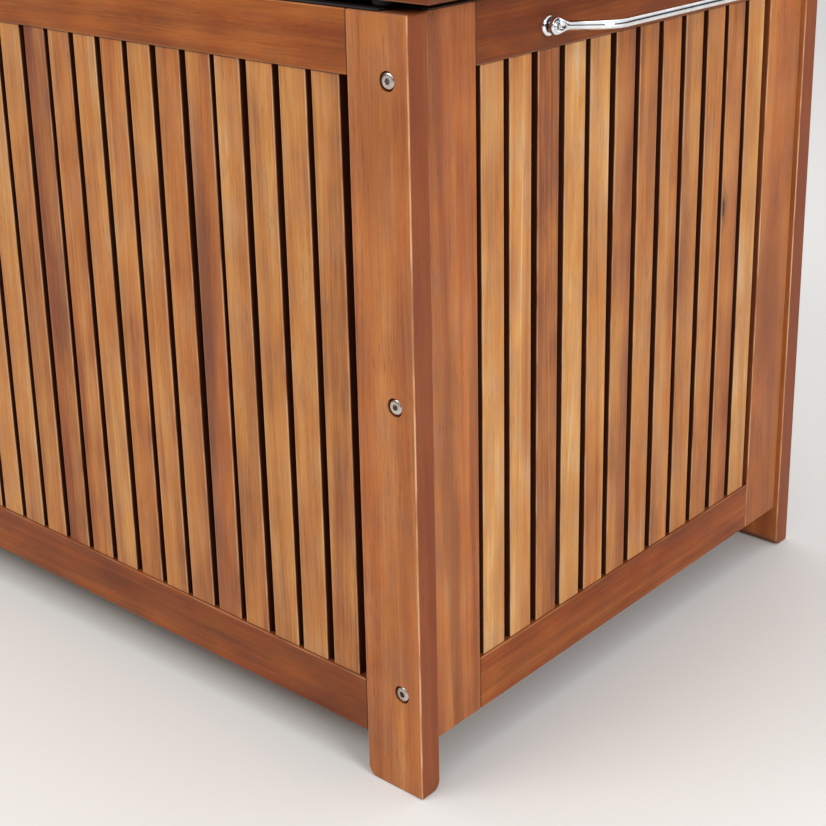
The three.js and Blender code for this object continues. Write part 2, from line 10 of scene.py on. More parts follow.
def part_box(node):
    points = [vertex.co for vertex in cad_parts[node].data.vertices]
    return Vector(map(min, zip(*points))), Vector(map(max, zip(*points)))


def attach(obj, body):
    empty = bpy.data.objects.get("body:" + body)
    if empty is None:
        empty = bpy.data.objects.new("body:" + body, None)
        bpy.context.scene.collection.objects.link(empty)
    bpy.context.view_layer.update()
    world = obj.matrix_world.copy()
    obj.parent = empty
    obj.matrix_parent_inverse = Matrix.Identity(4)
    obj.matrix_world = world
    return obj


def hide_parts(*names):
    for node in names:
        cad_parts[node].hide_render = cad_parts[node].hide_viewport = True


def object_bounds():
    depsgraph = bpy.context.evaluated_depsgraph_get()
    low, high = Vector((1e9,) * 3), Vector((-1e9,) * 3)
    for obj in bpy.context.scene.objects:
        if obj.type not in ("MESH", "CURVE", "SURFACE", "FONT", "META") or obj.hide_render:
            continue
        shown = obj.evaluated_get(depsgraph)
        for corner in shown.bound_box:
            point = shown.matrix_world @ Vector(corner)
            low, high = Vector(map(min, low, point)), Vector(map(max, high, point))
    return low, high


# A slatted hardwood deck box with a hinged lid, chrome handles, gas struts and a black fabric liner.
# Metres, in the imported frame: the floor is at z = 0, the front faces -Y and +X is the right-hand end.

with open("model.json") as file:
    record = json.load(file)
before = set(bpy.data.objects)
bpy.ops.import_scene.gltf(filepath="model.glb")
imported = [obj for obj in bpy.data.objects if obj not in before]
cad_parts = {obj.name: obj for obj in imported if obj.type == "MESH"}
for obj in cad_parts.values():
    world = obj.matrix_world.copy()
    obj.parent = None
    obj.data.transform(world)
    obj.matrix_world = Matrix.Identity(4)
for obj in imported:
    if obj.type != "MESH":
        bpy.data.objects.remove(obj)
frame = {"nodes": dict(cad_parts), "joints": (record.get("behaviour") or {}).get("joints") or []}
CAD_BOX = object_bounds()
NODES = frame["nodes"]
JOINTS = {joint["name"]: joint for joint in frame["joints"]}
SIDES = {"left": -1, "right": 1}
FACES = {"front": -1, "rear": 1}
MM = 0.001

# Timber
EDGE_ROUND = 1.3 * MM
SLAT_ROUND = 0.8 * MM
END_ROUND = 0.8 * MM
CORNER_STEPS = 4
FOOT_STEPS = 8
FOOT_ROUND = 8 * MM
FOOT_ROUND_OUTER = 1.5 * MM
FOOT_OUTER_SHARES = (0.3, 0.6, 1)
GROOVE_WIDTH = 9.5 * MM
GROOVE_DEPTH = 8.25 * MM
GROOVE_OVERRUN = MM / 4
TENON_THICK = 9 * MM
TENON_LENGTH = 7.5 * MM
SLAT_GAP = 6 * MM
JOINT_GAP = 0.2 * MM
SLAT_STATIONS = 9
SLAT_SHIFT = 0.45 * MM
SLAT_BOW = 0.5 * MM
COUNTERBORE_RADIUS = 6.5 * MM
COUNTERBORE_DEPTH = 4 * MM

# One letter for each slat: M mid, G golden, W between them, R red-brown, D dark, S streaked,
# T and P two-tone, K knotty.
FRONT_TONES = "MGRMGSMMDGMTGMRMGSMMG" + "WMRMGMWMSMWWM"
RIGHT_TONES = "GGRGGTMMSMKG"
LEFT_TONES = "GMSMRGMPMDKG"
BACK_TONES = "MRGMSMGMDMKGTMGMRMGMSGMMRGMDKGMTMG"
LID_TONES = "GMMRGMSMGDMGMTMGRMKGMSMGMPMGRMMGMDG"
FLOOR_TONES = "MGMRMSMMGMDMGMRMGM"
# For each letter: lightness, redness, dark streaks, the step of tone across the board, and its knot.
TONES = {
    "M": (0.50, 0.22, 0.30, 0.0, 0),
    "G": (0.64, 0.06, 0.15, 0.0, 0),
    "W": (0.58, 0.14, 0.20, 0.0, 0),
    "R": (0.34, 0.50, 0.35, 0.0, 0),
    "D": (0.24, 0.45, 0.70, 0.0, 0),
    "S": (0.42, 0.30, 1.00, 0.0, 0),
    "T": (0.50, 0.25, 0.30, 0.8, 0),
    "P": (0.46, 0.25, 0.30, -0.7, 0),
    "K": (0.36, 0.40, 0.30, 0.5, 1),
}
POST_TONE = (0.46, 0.30, 0.05, 0.0, 0)
STILE_TONE = (0.40, 0.34, 0.80, 0.2, 0)
RAIL_TONE = (0.45, 0.35, 0.15, 0.0, 0)
FRONT_TOP_RAIL_TONE = (0.70, 0.35, 0.15, 0.0, 0)
FRONT_BOTTOM_RAIL_TONE = (0.35, 0.25, 0.15, 0.0, 0)
# Painted shadow: the end panels' top rails are darkened for the handles' shadow that falls on them.
END_TOP_RAIL_SHADOW_TONE = (0.26, 0.20, 0.15, 0.0, 0)
END_BOTTOM_RAIL_TONE = (0.52, 0.30, 0.20, 0.0, 0)
# Painted light: the end panels' slats are made paler for the brighter light that falls on the ends.
END_SLAT_LIGHT_LIFT = 0.06
END_SLAT_INSET = 0.3 * MM

# How boards differ: where in the tree each was sawn, and how its lightness and redness vary.
PITH_RANGES = ((0, 50), (-0.07, 0.07), (0.015, 0.11))
LIGHT_SPREAD = 0.05
RED_SPREAD = 0.1

SEED = 7
rng = random.Random(SEED)


# ---- Camera, light and floor ----

HORIZON_LIGHT = (0.03, 0.03, 0.03, 1)
ZENITH_LIGHT = (1.0, 1.0, 1.0, 1)
BACKDROP = (0.72, 0.72, 0.71, 1)
CAMERA_PLACE = Vector((1.19766, -0.96296, 0.68904))
CAMERA_YAW = 0.7266
CAMERA_PITCH = 0.3219
CAMERA_ROLL = -0.0203
CAMERA_FOCAL = 1.9706
CAMERA_SHIFT = -0.15
SENSOR = 36.0
NEAREST = 10 * MM
HORIZON_HEIGHT = 0.22
ZENITH_HEIGHT = 0.5
STUDIO_HALF = 14
MIDDLE = (0.2, 0, 0.3)
RIGHT_END = (0.5, 0, 0.35)
# For each lamp: its place, what it aims at, its width and height, its power and its colour.
LAMPS = {
    "key": ((-0.7, -2.4, 2.5), MIDDLE, (1.8, 1.2), 41, (1, 0.98, 0.95)),
    "end_panel": ((3.2, -0.8, 1.65), RIGHT_END, (1.1, 1.3), 49, (1, 1, 1)),
    "top": ((0, 0.4, 3.4), MIDDLE, (2.6, 2.0), 24, (1, 1, 1)),
}


def add_object(name, data):
    added = bpy.data.objects.new(name, data)
    bpy.context.scene.collection.objects.link(added)
    return added


def add_camera():
    """A camera a little above the lid, looking down on the front right corner post."""
    data = bpy.data.cameras.new("camera")
    data.sensor_width = SENSOR
    data.lens = SENSOR * CAMERA_FOCAL
    data.shift_y = CAMERA_SHIFT
    data.clip_start = NEAREST
    camera = add_object("camera", data)
    turn = Matrix.Rotation(CAMERA_YAW, 4, "Z") @ Matrix.Rotation(math.pi / 2 - CAMERA_PITCH, 4, "X")
    turn = turn @ Matrix.Rotation(CAMERA_ROLL, 4, "Z")
    camera.matrix_world = Matrix.Translation(CAMERA_PLACE) @ turn
    bpy.context.scene.camera = camera


def area_light(name, place, aim, size, power, colour):
    data = bpy.data.lights.new(name, "AREA")
    data.shape = "RECTANGLE"
    data.size, data.size_y = size
    data.energy = power
    data.color = colour
    lamp = add_object(name, data)
    lamp.location = place
    lamp.rotation_euler = (Vector(aim) - Vector(place)).to_track_quat("-Z", "Y").to_euler()


def add_studio():
    """Soft light from the upper front, a large panel for the right-hand end, and a pale floor."""
    world = bpy.data.worlds.new("studio")
    bpy.context.scene.world = world
    world.use_nodes = True
    paint_studio(world.node_tree)
    for name, lamp in LAMPS.items():
        area_light(name, *lamp)
    bpy.context.scene.view_settings.view_transform = "Standard"
    floor = plane("studio_floor", STUDIO_HALF)
    floor.data.materials.append(floor_paint())


def paint_studio(tree):
    """A sky of soft light, dimmer near the horizon, that the camera sees as a pale backdrop."""
    graph = Graph(tree)
    height = graph.split(graph.add("TexCoord", {})["Generated"])["Z"]
    sky = graph.ramp(height, ((HORIZON_HEIGHT, HORIZON_LIGHT), (ZENITH_HEIGHT, ZENITH_LIGHT)))
    seen = graph.add("LightPath", {})["Is Camera Ray"]
    graph.feed(tree.nodes["Background"].inputs["Color"], graph.mix(seen, sky, BACKDROP))


def plane(name, half):
    mesh = bpy.data.meshes.new(name)
    corners = [(-half, -half, 0), (half, -half, 0), (half, half, 0), (-half, half, 0)]
    mesh.from_pydata(corners, [], [(0, 1, 2, 3)])
    return add_object(name, mesh)


# ---- Materials ----


def linear(red, green, blue):
    """A screen colour, each channel from 0 to 255, as the linear colour that a shader takes."""
    def one(value):
        share = value / 255
        return share / 12.92 if share <= 0.04045 else ((share + 0.055) / 1.055) ** 2.4
    return (one(red), one(green), one(blue), 1)


class Graph:
    """A node tree, with short ways to add what the studio and the finishes are made of."""

    def __init__(self, tree):
        self.tree = tree

    def feed(self, socket, value):
        if isinstance(value, bpy.types.NodeSocket):
            self.tree.links.new(value, socket)
        else:
            socket.default_value = value

    def add(self, kind, sockets, **settings):
        """A node whose sockets, by name or number, are fed from a dict; gives its outputs."""
        node = self.tree.nodes.new(f"ShaderNode{kind}")
        for key, value in settings.items():
            setattr(node, key, value)
        for key, value in sockets.items():
            self.feed(node.inputs[key], value)
        return node.outputs

    def math(self, operation, *values, clamped=False):
        return self.add("Math", dict(enumerate(values)), operation=operation, use_clamp=clamped)[0]

    def times(self, first, *others):
        for other in others:
            first = self.math("MULTIPLY", first, other)
        return first

    def sway(self, base, wave, amount):
        """base, moved up and down by a noise that averages a half."""
        return self.math("MULTIPLY_ADD", self.math("SUBTRACT", wave, 0.5), amount, base)

    def vector(self, operation, *values):
        outputs = self.add("VectorMath", dict(enumerate(values)), operation=operation)
        return outputs["Value" if operation == "LENGTH" else "Vector"]

    def split(self, vector):
        return self.add("SeparateXYZ", {0: vector})

    def combine(self, *values):
        return self.add("CombineXYZ", dict(enumerate(values)))[0]

    def noise(self, vector, scale, detail, roughness, output="Fac"):
        sockets = {"Vector": vector, "Scale": scale, "Detail": detail, "Roughness": roughness}
        return self.add("TexNoise", sockets)[output]

    def between(self, value, low, high, to_low=0.0, to_high=1.0):
        """value eased from low..high to to_low..to_high."""
        sockets = dict(enumerate((value, low, high, to_low, to_high)))
        return self.add("MapRange", sockets, interpolation_type="SMOOTHSTEP")[0]

    def ramp(self, factor, stops):
        output = self.add("ValToRGB", {0: factor})[0]
        elements = output.node.color_ramp.elements
        while len(elements) < len(stops):
            elements.new(0.5)
        for element, (place, colour) in zip(elements, stops):
            element.position = place
            element.color = colour
        return output

    def mix(self, factor, first, second, blend="MIX"):
        sockets = {"Factor": factor, 6: first, 7: second}
        return self.add("Mix", sockets, data_type="RGBA", blend_type=blend)[2]


class Finish(Graph):
    """A material's node tree and its shader."""

    def __init__(self, name):
        self.material = bpy.data.materials.new(name)
        self.material.use_nodes = True
        super().__init__(self.material.node_tree)
        self.shader = self.tree.nodes["Principled BSDF"]

    def attribute(self, name):
        return self.add("Attribute", {}, attribute_name=name)["Vector"]

    def place(self):
        return self.add("TexCoord", {})["Object"]

    def bump(self, height, strength, distance):
        sockets = {"Strength": strength, "Distance": distance, "Height": height}
        self.feed(self.shader.inputs["Normal"], self.add("Bump", sockets)[0])

    def set(self, **values):
        for name, value in values.items():
            self.feed(self.shader.inputs[name.replace("_", " ")], value)


# Noise in the grain: its scale along, across and through the board, its detail and its roughness,
# and for some how it is eased.
DRIFT = ((1.6, 22, 22), 2, 0.5)
CLOUD = ((4.5, 38, 38), 2, 0.55)
FIBRE = ((22, 760, 760), 3, 0.6)
PORES = ((95, 1700, 1700), 1, 0.5, (0.60, 0.72))
PORE_PATCHES = ((9, 60, 60), 2, 0.5, (0.35, 0.62, 0.25, 1.0))
GLOW = ((15, 30, 30), 2, 0.5)
DULLNESS = ((28, 64, 64), 3, 0.6, (0.40, 0.66))
HUE = ((2.4, 62, 62), 1, 0.5)
# Painted highlight: the patches where the pale line along the edges shows.
HIGHLIGHT_PATCHES = ((30, 300, 300), 2, 0.5, (0.3, 0.65, 0.15, 1.0))
# Noise round the pith: its scale outwards and along, its slice of the noise, detail and roughness.
RINGS = (230, 1, 0, 3, 0.62)
FINE_RINGS = (900, 1, 4, 2, 0.6)
FLAMES = (75, 2.2, 9, 2, 0.5)
# How far the grain wanders, and how the rings taper along the tree.
DRIFT_REACH = 11 * MM
RING_TAPER = 0.012
# How far the rings, fine rings, glow, cloud and fibre each move the wood's shade.
SHADE_SWAYS = (0.50, 0.20, 0.55, 0.58, 0.50)
HUE_SWAY = 1.5
RED_SHARE = 0.75
ROUGH_SWAY = 0.25
PORE_ROUGH = 0.2
PORE_SINK = -0.9
FIBRE_RISE = 0.5
GRAIN_BUMP = (0.35, 0.25 * MM)
WOOD_GLOSS = 0.26
# A two-tone board: how its boundary slants, from pith to pith, how it waves, and how dark its heart is.
SLANT_TURNS = 7.0
SLANT_REACH = 2.4
HEART_WAVE = 1.1
HEART_SHADE = -0.12
# A knot: how far from the board's middle, how near its edge, how much longer than wide, and its size.
KNOT_ALONG = 50 * MM
KNOT_SIDE = 0.86
KNOT_STRETCH = 0.42
KNOT_RADIUS = 3.5 * MM
# Eased steps: where a value starts and ends, and what it is there when that isn't 0 and 1.
KNOT_BEND = (1.0, 5.0, -0.75, 0.0)
HALO_EDGE = (0.9, 3.2, 1.0, 0.0)
CORE_EDGE = (0.5, 1.2, 1.0, 0.0)
HEART_EDGE = (-0.3, 0.8)
FLAME_EDGE = (0.54, 0.66)
# Painted shade on the narrow faces, deepening from SIDE_START of the side depth behind the wide face; on the
# posts partly their own darker tone.
NARROW_FACE = (0.2 * MM, 0.7 * MM, 1.0, 0.0)
END_FACE = (0.2 * MM, 0.9 * MM, 1.0, 0.0)
# Painted highlight: how far in from the edges the pale line reaches.
HIGHLIGHT_RIM = (0.2 * MM, 1.3 * MM, 1.0, 0.0)
BORE_DEPTH = (0.1 * MM, 1.2 * MM)
BORE_INSET = (2 * MM, 4 * MM)
SIDE_START = 0.1
# Tints: a colour and how strongly it covers the wood.
HEART = (linear(140, 88, 64), 0.55)
FLAME = (linear(112, 62, 40), 0.62)
HALO = (linear(118, 66, 46), 0.6)
CORE = (linear(60, 36, 30), 0.85)
END_GRAIN = (linear(92, 58, 40), 0.6)
# Painted shade inside the bolt recesses.
BORE_SHADE = (linear(98, 48, 28), 0.7)
PORE_COLOUR = linear(74, 38, 22)
# The colour of the painted highlight along the rounded edges.
EDGE_HIGHLIGHT_COLOUR = linear(236, 194, 150)
RED_FILTER = linear(228, 174, 150)
DULL_FILTER = (0.92, 1.0, 1.38, 1)


class Timber(Finish):
    """A board's node tree: where each point is in its board and in the tree that it was sawn from."""

    def __init__(self, name):
        super().__init__(name)
        self.spot = self.split(self.attribute("spot"))
        self.half = self.split(self.attribute("half"))
        self.pith = self.attribute("pith")
        self.light, self.red, self.streaky = self.split(self.attribute("tone"))
        self.step, self.knotty, _ = self.split(self.attribute("figure"))
        self.colour = None
        self.find_knot()
        drift = self.vector("SUBTRACT", self.grain(*DRIFT, output="Color"), (0.5, 0.5, 0.5))
        drift = self.vector("MULTIPLY", drift, (0, DRIFT_REACH, DRIFT_REACH))
        self.point = self.vector("ADD", self.point, drift)
        self.along, across, depth = self.split(self.point)
        self.from_pith = self.vector("LENGTH", self.combine(0, across, depth))
        self.from_pith = self.math("ADD", self.from_pith, self.times(self.along, RING_TAPER))

    def find_knot(self):
        """The distance from the knot, in its radii, and each point's place with the grain bent round it."""
        along = self.math("SUBTRACT", self.spot[0], KNOT_ALONG)
        across = self.math("MULTIPLY_ADD", self.half[1], KNOT_SIDE, self.spot[1])
        away = self.vector("LENGTH", self.combine(self.times(along, KNOT_STRETCH), across, 0))
        self.from_knot = self.math("DIVIDE", away, KNOT_RADIUS)
        bend = self.times(across, self.between(self.from_knot, *KNOT_BEND), self.knotty)
        self.point = self.vector("ADD", self.attribute("spot"), self.pith)
        self.point = self.vector("ADD", self.point, self.combine(0, bend, 0))

    def grain(self, scales, detail, roughness, edge=None, output="Fac"):
        wave = self.noise(self.vector("MULTIPLY", self.point, scales), 1, detail, roughness, output)
        return self.between(wave, *edge) if edge else wave

    def rings(self, outwards, along, level, detail, roughness):
        out, run = self.times(self.from_pith, outwards), self.times(self.along, along)
        return self.noise(self.combine(out, run, level), 1, detail, roughness)

    def heartwood(self, cloud):
        """The darker share of a two-tone board, on one side of a slanting, wavy boundary."""
        side = self.math("DIVIDE", self.spot[1], self.half[1])
        slant = self.math("SINE", self.times(self.split(self.pith)[0], SLANT_TURNS))
        side = self.math("MULTIPLY_ADD", self.times(slant, SLANT_REACH), self.spot[0], side)
        wavy = self.sway(side, cloud, HEART_WAVE)
        heart = self.between(self.times(wavy, self.math("SIGN", self.step)), *HEART_EDGE)
        return self.times(heart, self.math("ABSOLUTE", self.step))

    def tint(self, colour, strength, *shares):
        """Covers the wood with a colour, by its strength and by every share."""
        self.colour = self.mix(self.times(*shares, strength), self.colour, colour)


def wood(name, palette, rough, pore_dark, side_tone_and_shade, side_tone_and_shade_amount, side_shade_depth, edge_highlight):
    """Sawn and oiled timber: growth rings round a pith, fibres, pores, streaks, painted shade on its
    narrow faces and a painted highlight along its edges.

    Its narrow faces turn to the side colour from the side depth behind the wide face: painted shade in
    the gaps between boards, and on the posts partly the narrow faces' own darker tone. The edge
    highlight says how strongly a pale highlight is painted along its rounded edges."""
    board = Timber(name)
    cloud, fibre = board.grain(*CLOUD), board.grain(*FIBRE)
    pores = board.times(board.grain(*PORES), board.grain(*PORE_PATCHES))
    shade = board.light
    waves = (board.rings(*RINGS), board.rings(*FINE_RINGS), board.grain(*GLOW), cloud, fibre)
    for wave, amount in zip(waves, SHADE_SWAYS):
        shade = board.sway(shade, wave, amount)
    heart = board.heartwood(cloud)
    shade = board.math("MULTIPLY_ADD", heart, HEART_SHADE, shade)
    board.colour = board.ramp(shade, palette)
    board.tint(*HEART, heart)
    board.colour = board.mix(board.grain(*DULLNESS), board.colour, DULL_FILTER, "MULTIPLY")
    hue = board.sway(0.0, board.grain(*HUE), HUE_SWAY)
    redness = board.math("ADD", board.times(board.red, RED_SHARE), hue, clamped=True)
    board.colour = board.mix(redness, board.colour, RED_FILTER, "MULTIPLY")
    board.tint(*FLAME, board.between(board.rings(*FLAMES), *FLAME_EDGE), board.streaky)
    board.tint(PORE_COLOUR, pore_dark, pores)
    board.tint(*HALO, board.between(board.from_knot, *HALO_EDGE), board.knotty)
    board.tint(*CORE, board.between(board.from_knot, *CORE_EDGE), board.knotty)
    tint_faces(board, side_tone_and_shade, side_tone_and_shade_amount, side_shade_depth, edge_highlight)
    height = board.math("MULTIPLY_ADD", pores, PORE_SINK, board.times(fibre, FIBRE_RISE))
    roughness = board.math("MULTIPLY_ADD", pores, PORE_ROUGH, board.sway(rough, fibre, ROUGH_SWAY))
    board.set(Base_Color=board.colour, Roughness=roughness, Specular_IOR_Level=WOOD_GLOSS)
    board.bump(height, *GRAIN_BUMP)
    return board.material


def tint_faces(board, side_tone_and_shade, side_tone_and_shade_amount, side_shade_depth, edge_highlight):
    """The narrow faces with their painted shade, the darker end grain, the painted highlight along the edges
    and the painted shade in the bored holes.
    """
    gaps = []
    for half, spot in zip(board.half, board.spot):
        gaps.append(board.math("SUBTRACT", half, board.math("ABSOLUTE", spot)))
    to_end, to_edge, to_face = gaps
    # Painted shade: the narrow faces darken deeper behind the wide face, standing in for the shade in the
    # gaps between boards; on the posts it is partly their own darker tone.
    depth_shade = board.between(to_face, side_shade_depth * SIDE_START, side_shade_depth)
    board.tint(side_tone_and_shade, side_tone_and_shade_amount, board.between(to_edge, *NARROW_FACE), depth_shade)
    board.tint(*END_GRAIN, board.between(to_end, *END_FACE))
    # Painted highlight: a pale line along the rounded edges, in patches, where the lamps catch them.
    rim = board.between(board.math("MAXIMUM", to_edge, to_face), *HIGHLIGHT_RIM)
    board.tint(EDGE_HIGHLIGHT_COLOUR, edge_highlight, rim, board.grain(*HIGHLIGHT_PATCHES))
    # Painted shade on the walls and floor of the bolt recesses.
    inside = [board.between(gap, *BORE_INSET) for gap in (to_edge, to_end)]
    board.tint(*BORE_SHADE, board.between(to_face, *BORE_DEPTH), *inside)


# Noise: its scale, its detail and its roughness.
SMUDGES = (60, 3, 0.6)
SCRATCHES = (1, 2, 0.6)
RUBBER_GRAIN = (2600, 2, 0.5)
DUST = (90, 4, 0.65)
FADING = (14, 4, 0.6)
FLOOR_CLOUDS = (0.8, 3, 0.5)
SCRATCH_STRETCH = 0.12
SCRATCH_BUMP = 0.3
SMUDGE_SHARE = 0.6
METAL_EDGE = (0.35, 0.65)
RUBBER_ROUGH = (0.2, 0.8, 0.5, 0.8)
DUST_EDGE = (0.4, 0.8)
RUBBER_BUMP = (0.4, 0.08 * MM)
RUBBER_GLOSS = 0.3
THREADS = (2300, 2300, 2300)
THREAD_COLOUR = linear(52, 51, 50)
THREAD_EDGE = (0.2, 1.0, 0.0, 0.3)
CLOTH_COLOURS = (linear(20, 20, 21), linear(34, 33, 33))
CLOTH_EDGE = (0.3, 0.75)
CLOTH_ROUGH = (0.3, 0.7, 0.38, 0.52)
CLOTH_BUMP = (0.25, 0.1 * MM)
CLOTH_GLOSS = 0.4
FLOOR_COLOURS = (linear(209, 208, 206), linear(217, 216, 214))
FLOOR_ROUGH = 0.7


def metal(name, dark, bright, rough, grain, metallic=1.0, depth=0.02 * MM):
    """Metal or enamel with fine scratches and handling marks."""
    graph = Finish(name)
    place = graph.place()
    smudge = graph.noise(place, *SMUDGES)
    fine = graph.vector("MULTIPLY", place, (grain, grain, grain * SCRATCH_STRETCH))
    scratch = graph.noise(fine, *SCRATCHES)
    blotch = graph.math("MULTIPLY_ADD", smudge, SMUDGE_SHARE, graph.times(scratch, 1 - SMUDGE_SHARE))
    colour = graph.mix(graph.between(smudge, *METAL_EDGE), dark, bright)
    graph.set(Base_Color=colour, Roughness=graph.between(blotch, *METAL_EDGE, *rough), Metallic=metallic)
    graph.bump(scratch, SCRATCH_BUMP, depth)
    return graph.material


def rubber(name, colour, dusty):
    """Moulded rubber or nylon with a fine spark-eroded grain and a little dust."""
    graph = Finish(name)
    place = graph.place()
    grain = graph.noise(place, *RUBBER_GRAIN)
    dust = graph.noise(place, *DUST)
    colour = graph.mix(graph.between(dust, *DUST_EDGE), colour, dusty)
    rough = graph.between(grain, *RUBBER_ROUGH)
    graph.set(Base_Color=colour, Roughness=rough, Specular_IOR_Level=RUBBER_GLOSS)
    graph.bump(grain, *RUBBER_BUMP)
    return graph.material


def liner_cloth(name):
    """Black coated polyester: a fine square weave under a slightly glossy coating."""
    graph = Finish(name)
    place = graph.place()
    x, y, z = graph.split(graph.vector("MULTIPLY", place, THREADS))
    warp = graph.math("SINE", graph.math("ADD", x, y))
    weft = graph.math("SINE", graph.math("ADD", z, graph.math("SUBTRACT", y, x)))
    weave = graph.math("MAXIMUM", warp, weft)
    fade = graph.noise(place, *FADING)
    base = graph.mix(graph.between(fade, *CLOTH_EDGE), *CLOTH_COLOURS)
    base = graph.mix(graph.between(weave, *THREAD_EDGE), base, THREAD_COLOUR)
    rough = graph.between(fade, *CLOTH_ROUGH)
    graph.set(Base_Color=base, Roughness=rough, Specular_IOR_Level=CLOTH_GLOSS)
    graph.bump(weave, *CLOTH_BUMP)
    return graph.material


def floor_paint():
    graph = Finish("studio_floor")
    cloud = graph.noise(graph.place(), *FLOOR_CLOUDS)
    graph.set(Base_Color=graph.mix(cloud, *FLOOR_COLOURS), Roughness=FLOOR_ROUGH)
    return graph.material


SHADES = (0.0, 0.28, 0.52, 0.76, 1.0)


def oiled(*colours):
    """The stops of a timber's colours, from its darkest grain to its palest."""
    return [(shade, linear(*colour)) for shade, colour in zip(SHADES, colours)]


SLAT_PALETTE = oiled((96, 50, 26), (144, 86, 47), (184, 120, 61), (202, 145, 81), (226, 182, 126))
POST_PALETTE = oiled((116, 62, 31), (158, 92, 46), (183, 113, 57), (200, 136, 77), (222, 170, 112))
RAIL_PALETTE = oiled((82, 36, 7), (115, 54, 12), (144, 74, 20), (170, 96, 34), (200, 130, 60))
RAW_PALETTE = oiled((126, 88, 60), (156, 114, 78), (180, 138, 98), (200, 160, 118), (216, 182, 140))

# Each timber's narrow faces get painted shade (on the posts partly their own darker tone), and its edges a
# painted highlight.
FINISHES = {
    "post_wood": wood(
        "oiled_post_timber", POST_PALETTE, rough=0.5, pore_dark=0.4,
        side_tone_and_shade=linear(110, 43, 19), side_tone_and_shade_amount=0.7, side_shade_depth=0.8 * MM, edge_highlight=0.8,
    ),
    "rail_wood": wood(
        "oiled_rail_timber", RAIL_PALETTE, rough=0.48, pore_dark=0.4,
        side_tone_and_shade=linear(84, 38, 20), side_tone_and_shade_amount=0.3, side_shade_depth=2 * MM, edge_highlight=0.2,
    ),
    "slat_wood": wood(
        "oiled_slat_timber", SLAT_PALETTE, rough=0.52, pore_dark=0.34,
        side_tone_and_shade=linear(60, 20, 6), side_tone_and_shade_amount=0.97, side_shade_depth=0.8 * MM, edge_highlight=0.4,
    ),
    "inner_wood": wood(
        "unoiled_timber", RAW_PALETTE, rough=0.72, pore_dark=0.4,
        side_tone_and_shade=linear(110, 76, 50), side_tone_and_shade_amount=0.3, side_shade_depth=2 * MM, edge_highlight=0.2,
    ),
    "chrome": metal(
        "bright_chrome", linear(222, 223, 226), linear(244, 245, 247),
        rough=(0.02, 0.06), grain=500, depth=0.004 * MM,
    ),
    # Partly painted reflection: the plating's grey is made darker and warmer, standing in for the oiled wood
    # reflected in the bolt heads.
    "steel": metal(
        "zinc_plated_steel", linear(172, 160, 151), linear(208, 199, 192), rough=(0.2, 0.36), grain=900,
    ),
    "black_enamel": metal(
        "black_enamel", linear(20, 20, 21), linear(34, 34, 35),
        rough=(0.28, 0.42), grain=700, metallic=0.0, depth=0.03 * MM,
    ),
    "rubber": rubber("moulded_black_rubber", linear(13, 13, 13), linear(32, 31, 30)),
    "liner_fabric": liner_cloth("coated_liner_cloth"),
}


# ---- Meshes ----


def finish_piece(name, mesh, finish, body, replaced=()):
    """Links a mesh as a piece that rides on a body and takes a slot's finish."""
    piece = add_object(name, mesh)
    mesh.materials.clear()
    mesh.materials.append(FINISHES[finish])
    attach(piece, body)
    if replaced:
        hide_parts(*replaced)
    return piece


def mesh_of(bm, name):
    bmesh.ops.recalc_face_normals(bm, faces=bm.faces)
    mesh = bpy.data.meshes.new(name)
    bm.to_mesh(mesh)
    bm.free()
    return mesh


def smooth(mesh, angle=32):
    mesh.polygons.foreach_set("use_smooth", [True] * len(mesh.polygons))
    mesh.set_sharp_from_angle(angle=math.radians(angle))
    return mesh


def loft(bm, rings):
    """One closed skin over rings of points that all have as many points."""
    loops = [[bm.verts.new(point) for point in ring] for ring in rings]
    count = len(loops[0])
    for a, b in zip(loops, loops[1:]):
        for i in range(count):
            j = (i + 1) % count
            bm.faces.new((a[i], a[j], b[j], b[i]))
    bm.faces.new(loops[0][::-1])
    bm.faces.new(loops[-1])
    return sum(len(loop) for loop in loops)


def turned(bm, outline, origin, direction, sides=32):
    """A turned part: outline holds (radius, distance along direction), from one end to the other."""
    axis = Vector(direction).normalized()
    first = axis.orthogonal().normalized()
    second = axis.cross(first)
    rings = []
    for radius, reach in outline:
        centre = Vector(origin) + axis * reach
        angles = [2 * math.pi * i / sides for i in range(sides)]
        rings.append([centre + (first * math.cos(a) + second * math.sin(a)) * radius for a in angles])
    return loft(bm, rings)


def turned_piece(name, finish, body, node, parts, angle=32):
    """One piece of turned parts, in place of a CAD node. parts: (outline, origin, direction, sides)."""
    bm = bmesh.new()
    for part in parts:
        turned(bm, *part)
    return finish_piece(name, smooth(mesh_of(bm, node), angle), finish, body, [node])


def carve(mesh, cutters):
    """Cuts solid meshes out of a mesh."""
    work = add_object("carved", mesh)
    tools = [add_object("cutter", cutter) for cutter in cutters]
    for tool in tools:
        change = work.modifiers.new("cut", "BOOLEAN")
        change.operation = "DIFFERENCE"
        change.solver = "EXACT"
        change.object = tool
    bpy.context.view_layer.update()
    result = bpy.data.meshes.new_from_object(work.evaluated_get(bpy.context.evaluated_depsgraph_get()))
    for item in [work, *tools]:
        bpy.data.objects.remove(item)
    return result


def box_mesh(low, high):
    bm = bmesh.new()
    bmesh.ops.create_cube(bm, size=1)
    size = Vector(high) - Vector(low)
    middle = (Vector(high) + Vector(low)) / 2
    for v in bm.verts:
        v.co = middle + Vector(a * b for a, b in zip(v.co, size))
    return mesh_of(bm, "cutter")


def rod_mesh(radius, start, end, sides=32):
    bm = bmesh.new()
    reach = (Vector(end) - Vector(start)).length
    turned(bm, [(radius, 0), (radius, reach)], start, Vector(end) - Vector(start), sides)
    return mesh_of(bm, "cutter")


# ---- Boards ----


def grain_axes(low, high):
    """The axes a board runs along, is wide along and is thin along, in that order."""
    return sorted(range(3), key=lambda i: low[i] - high[i])


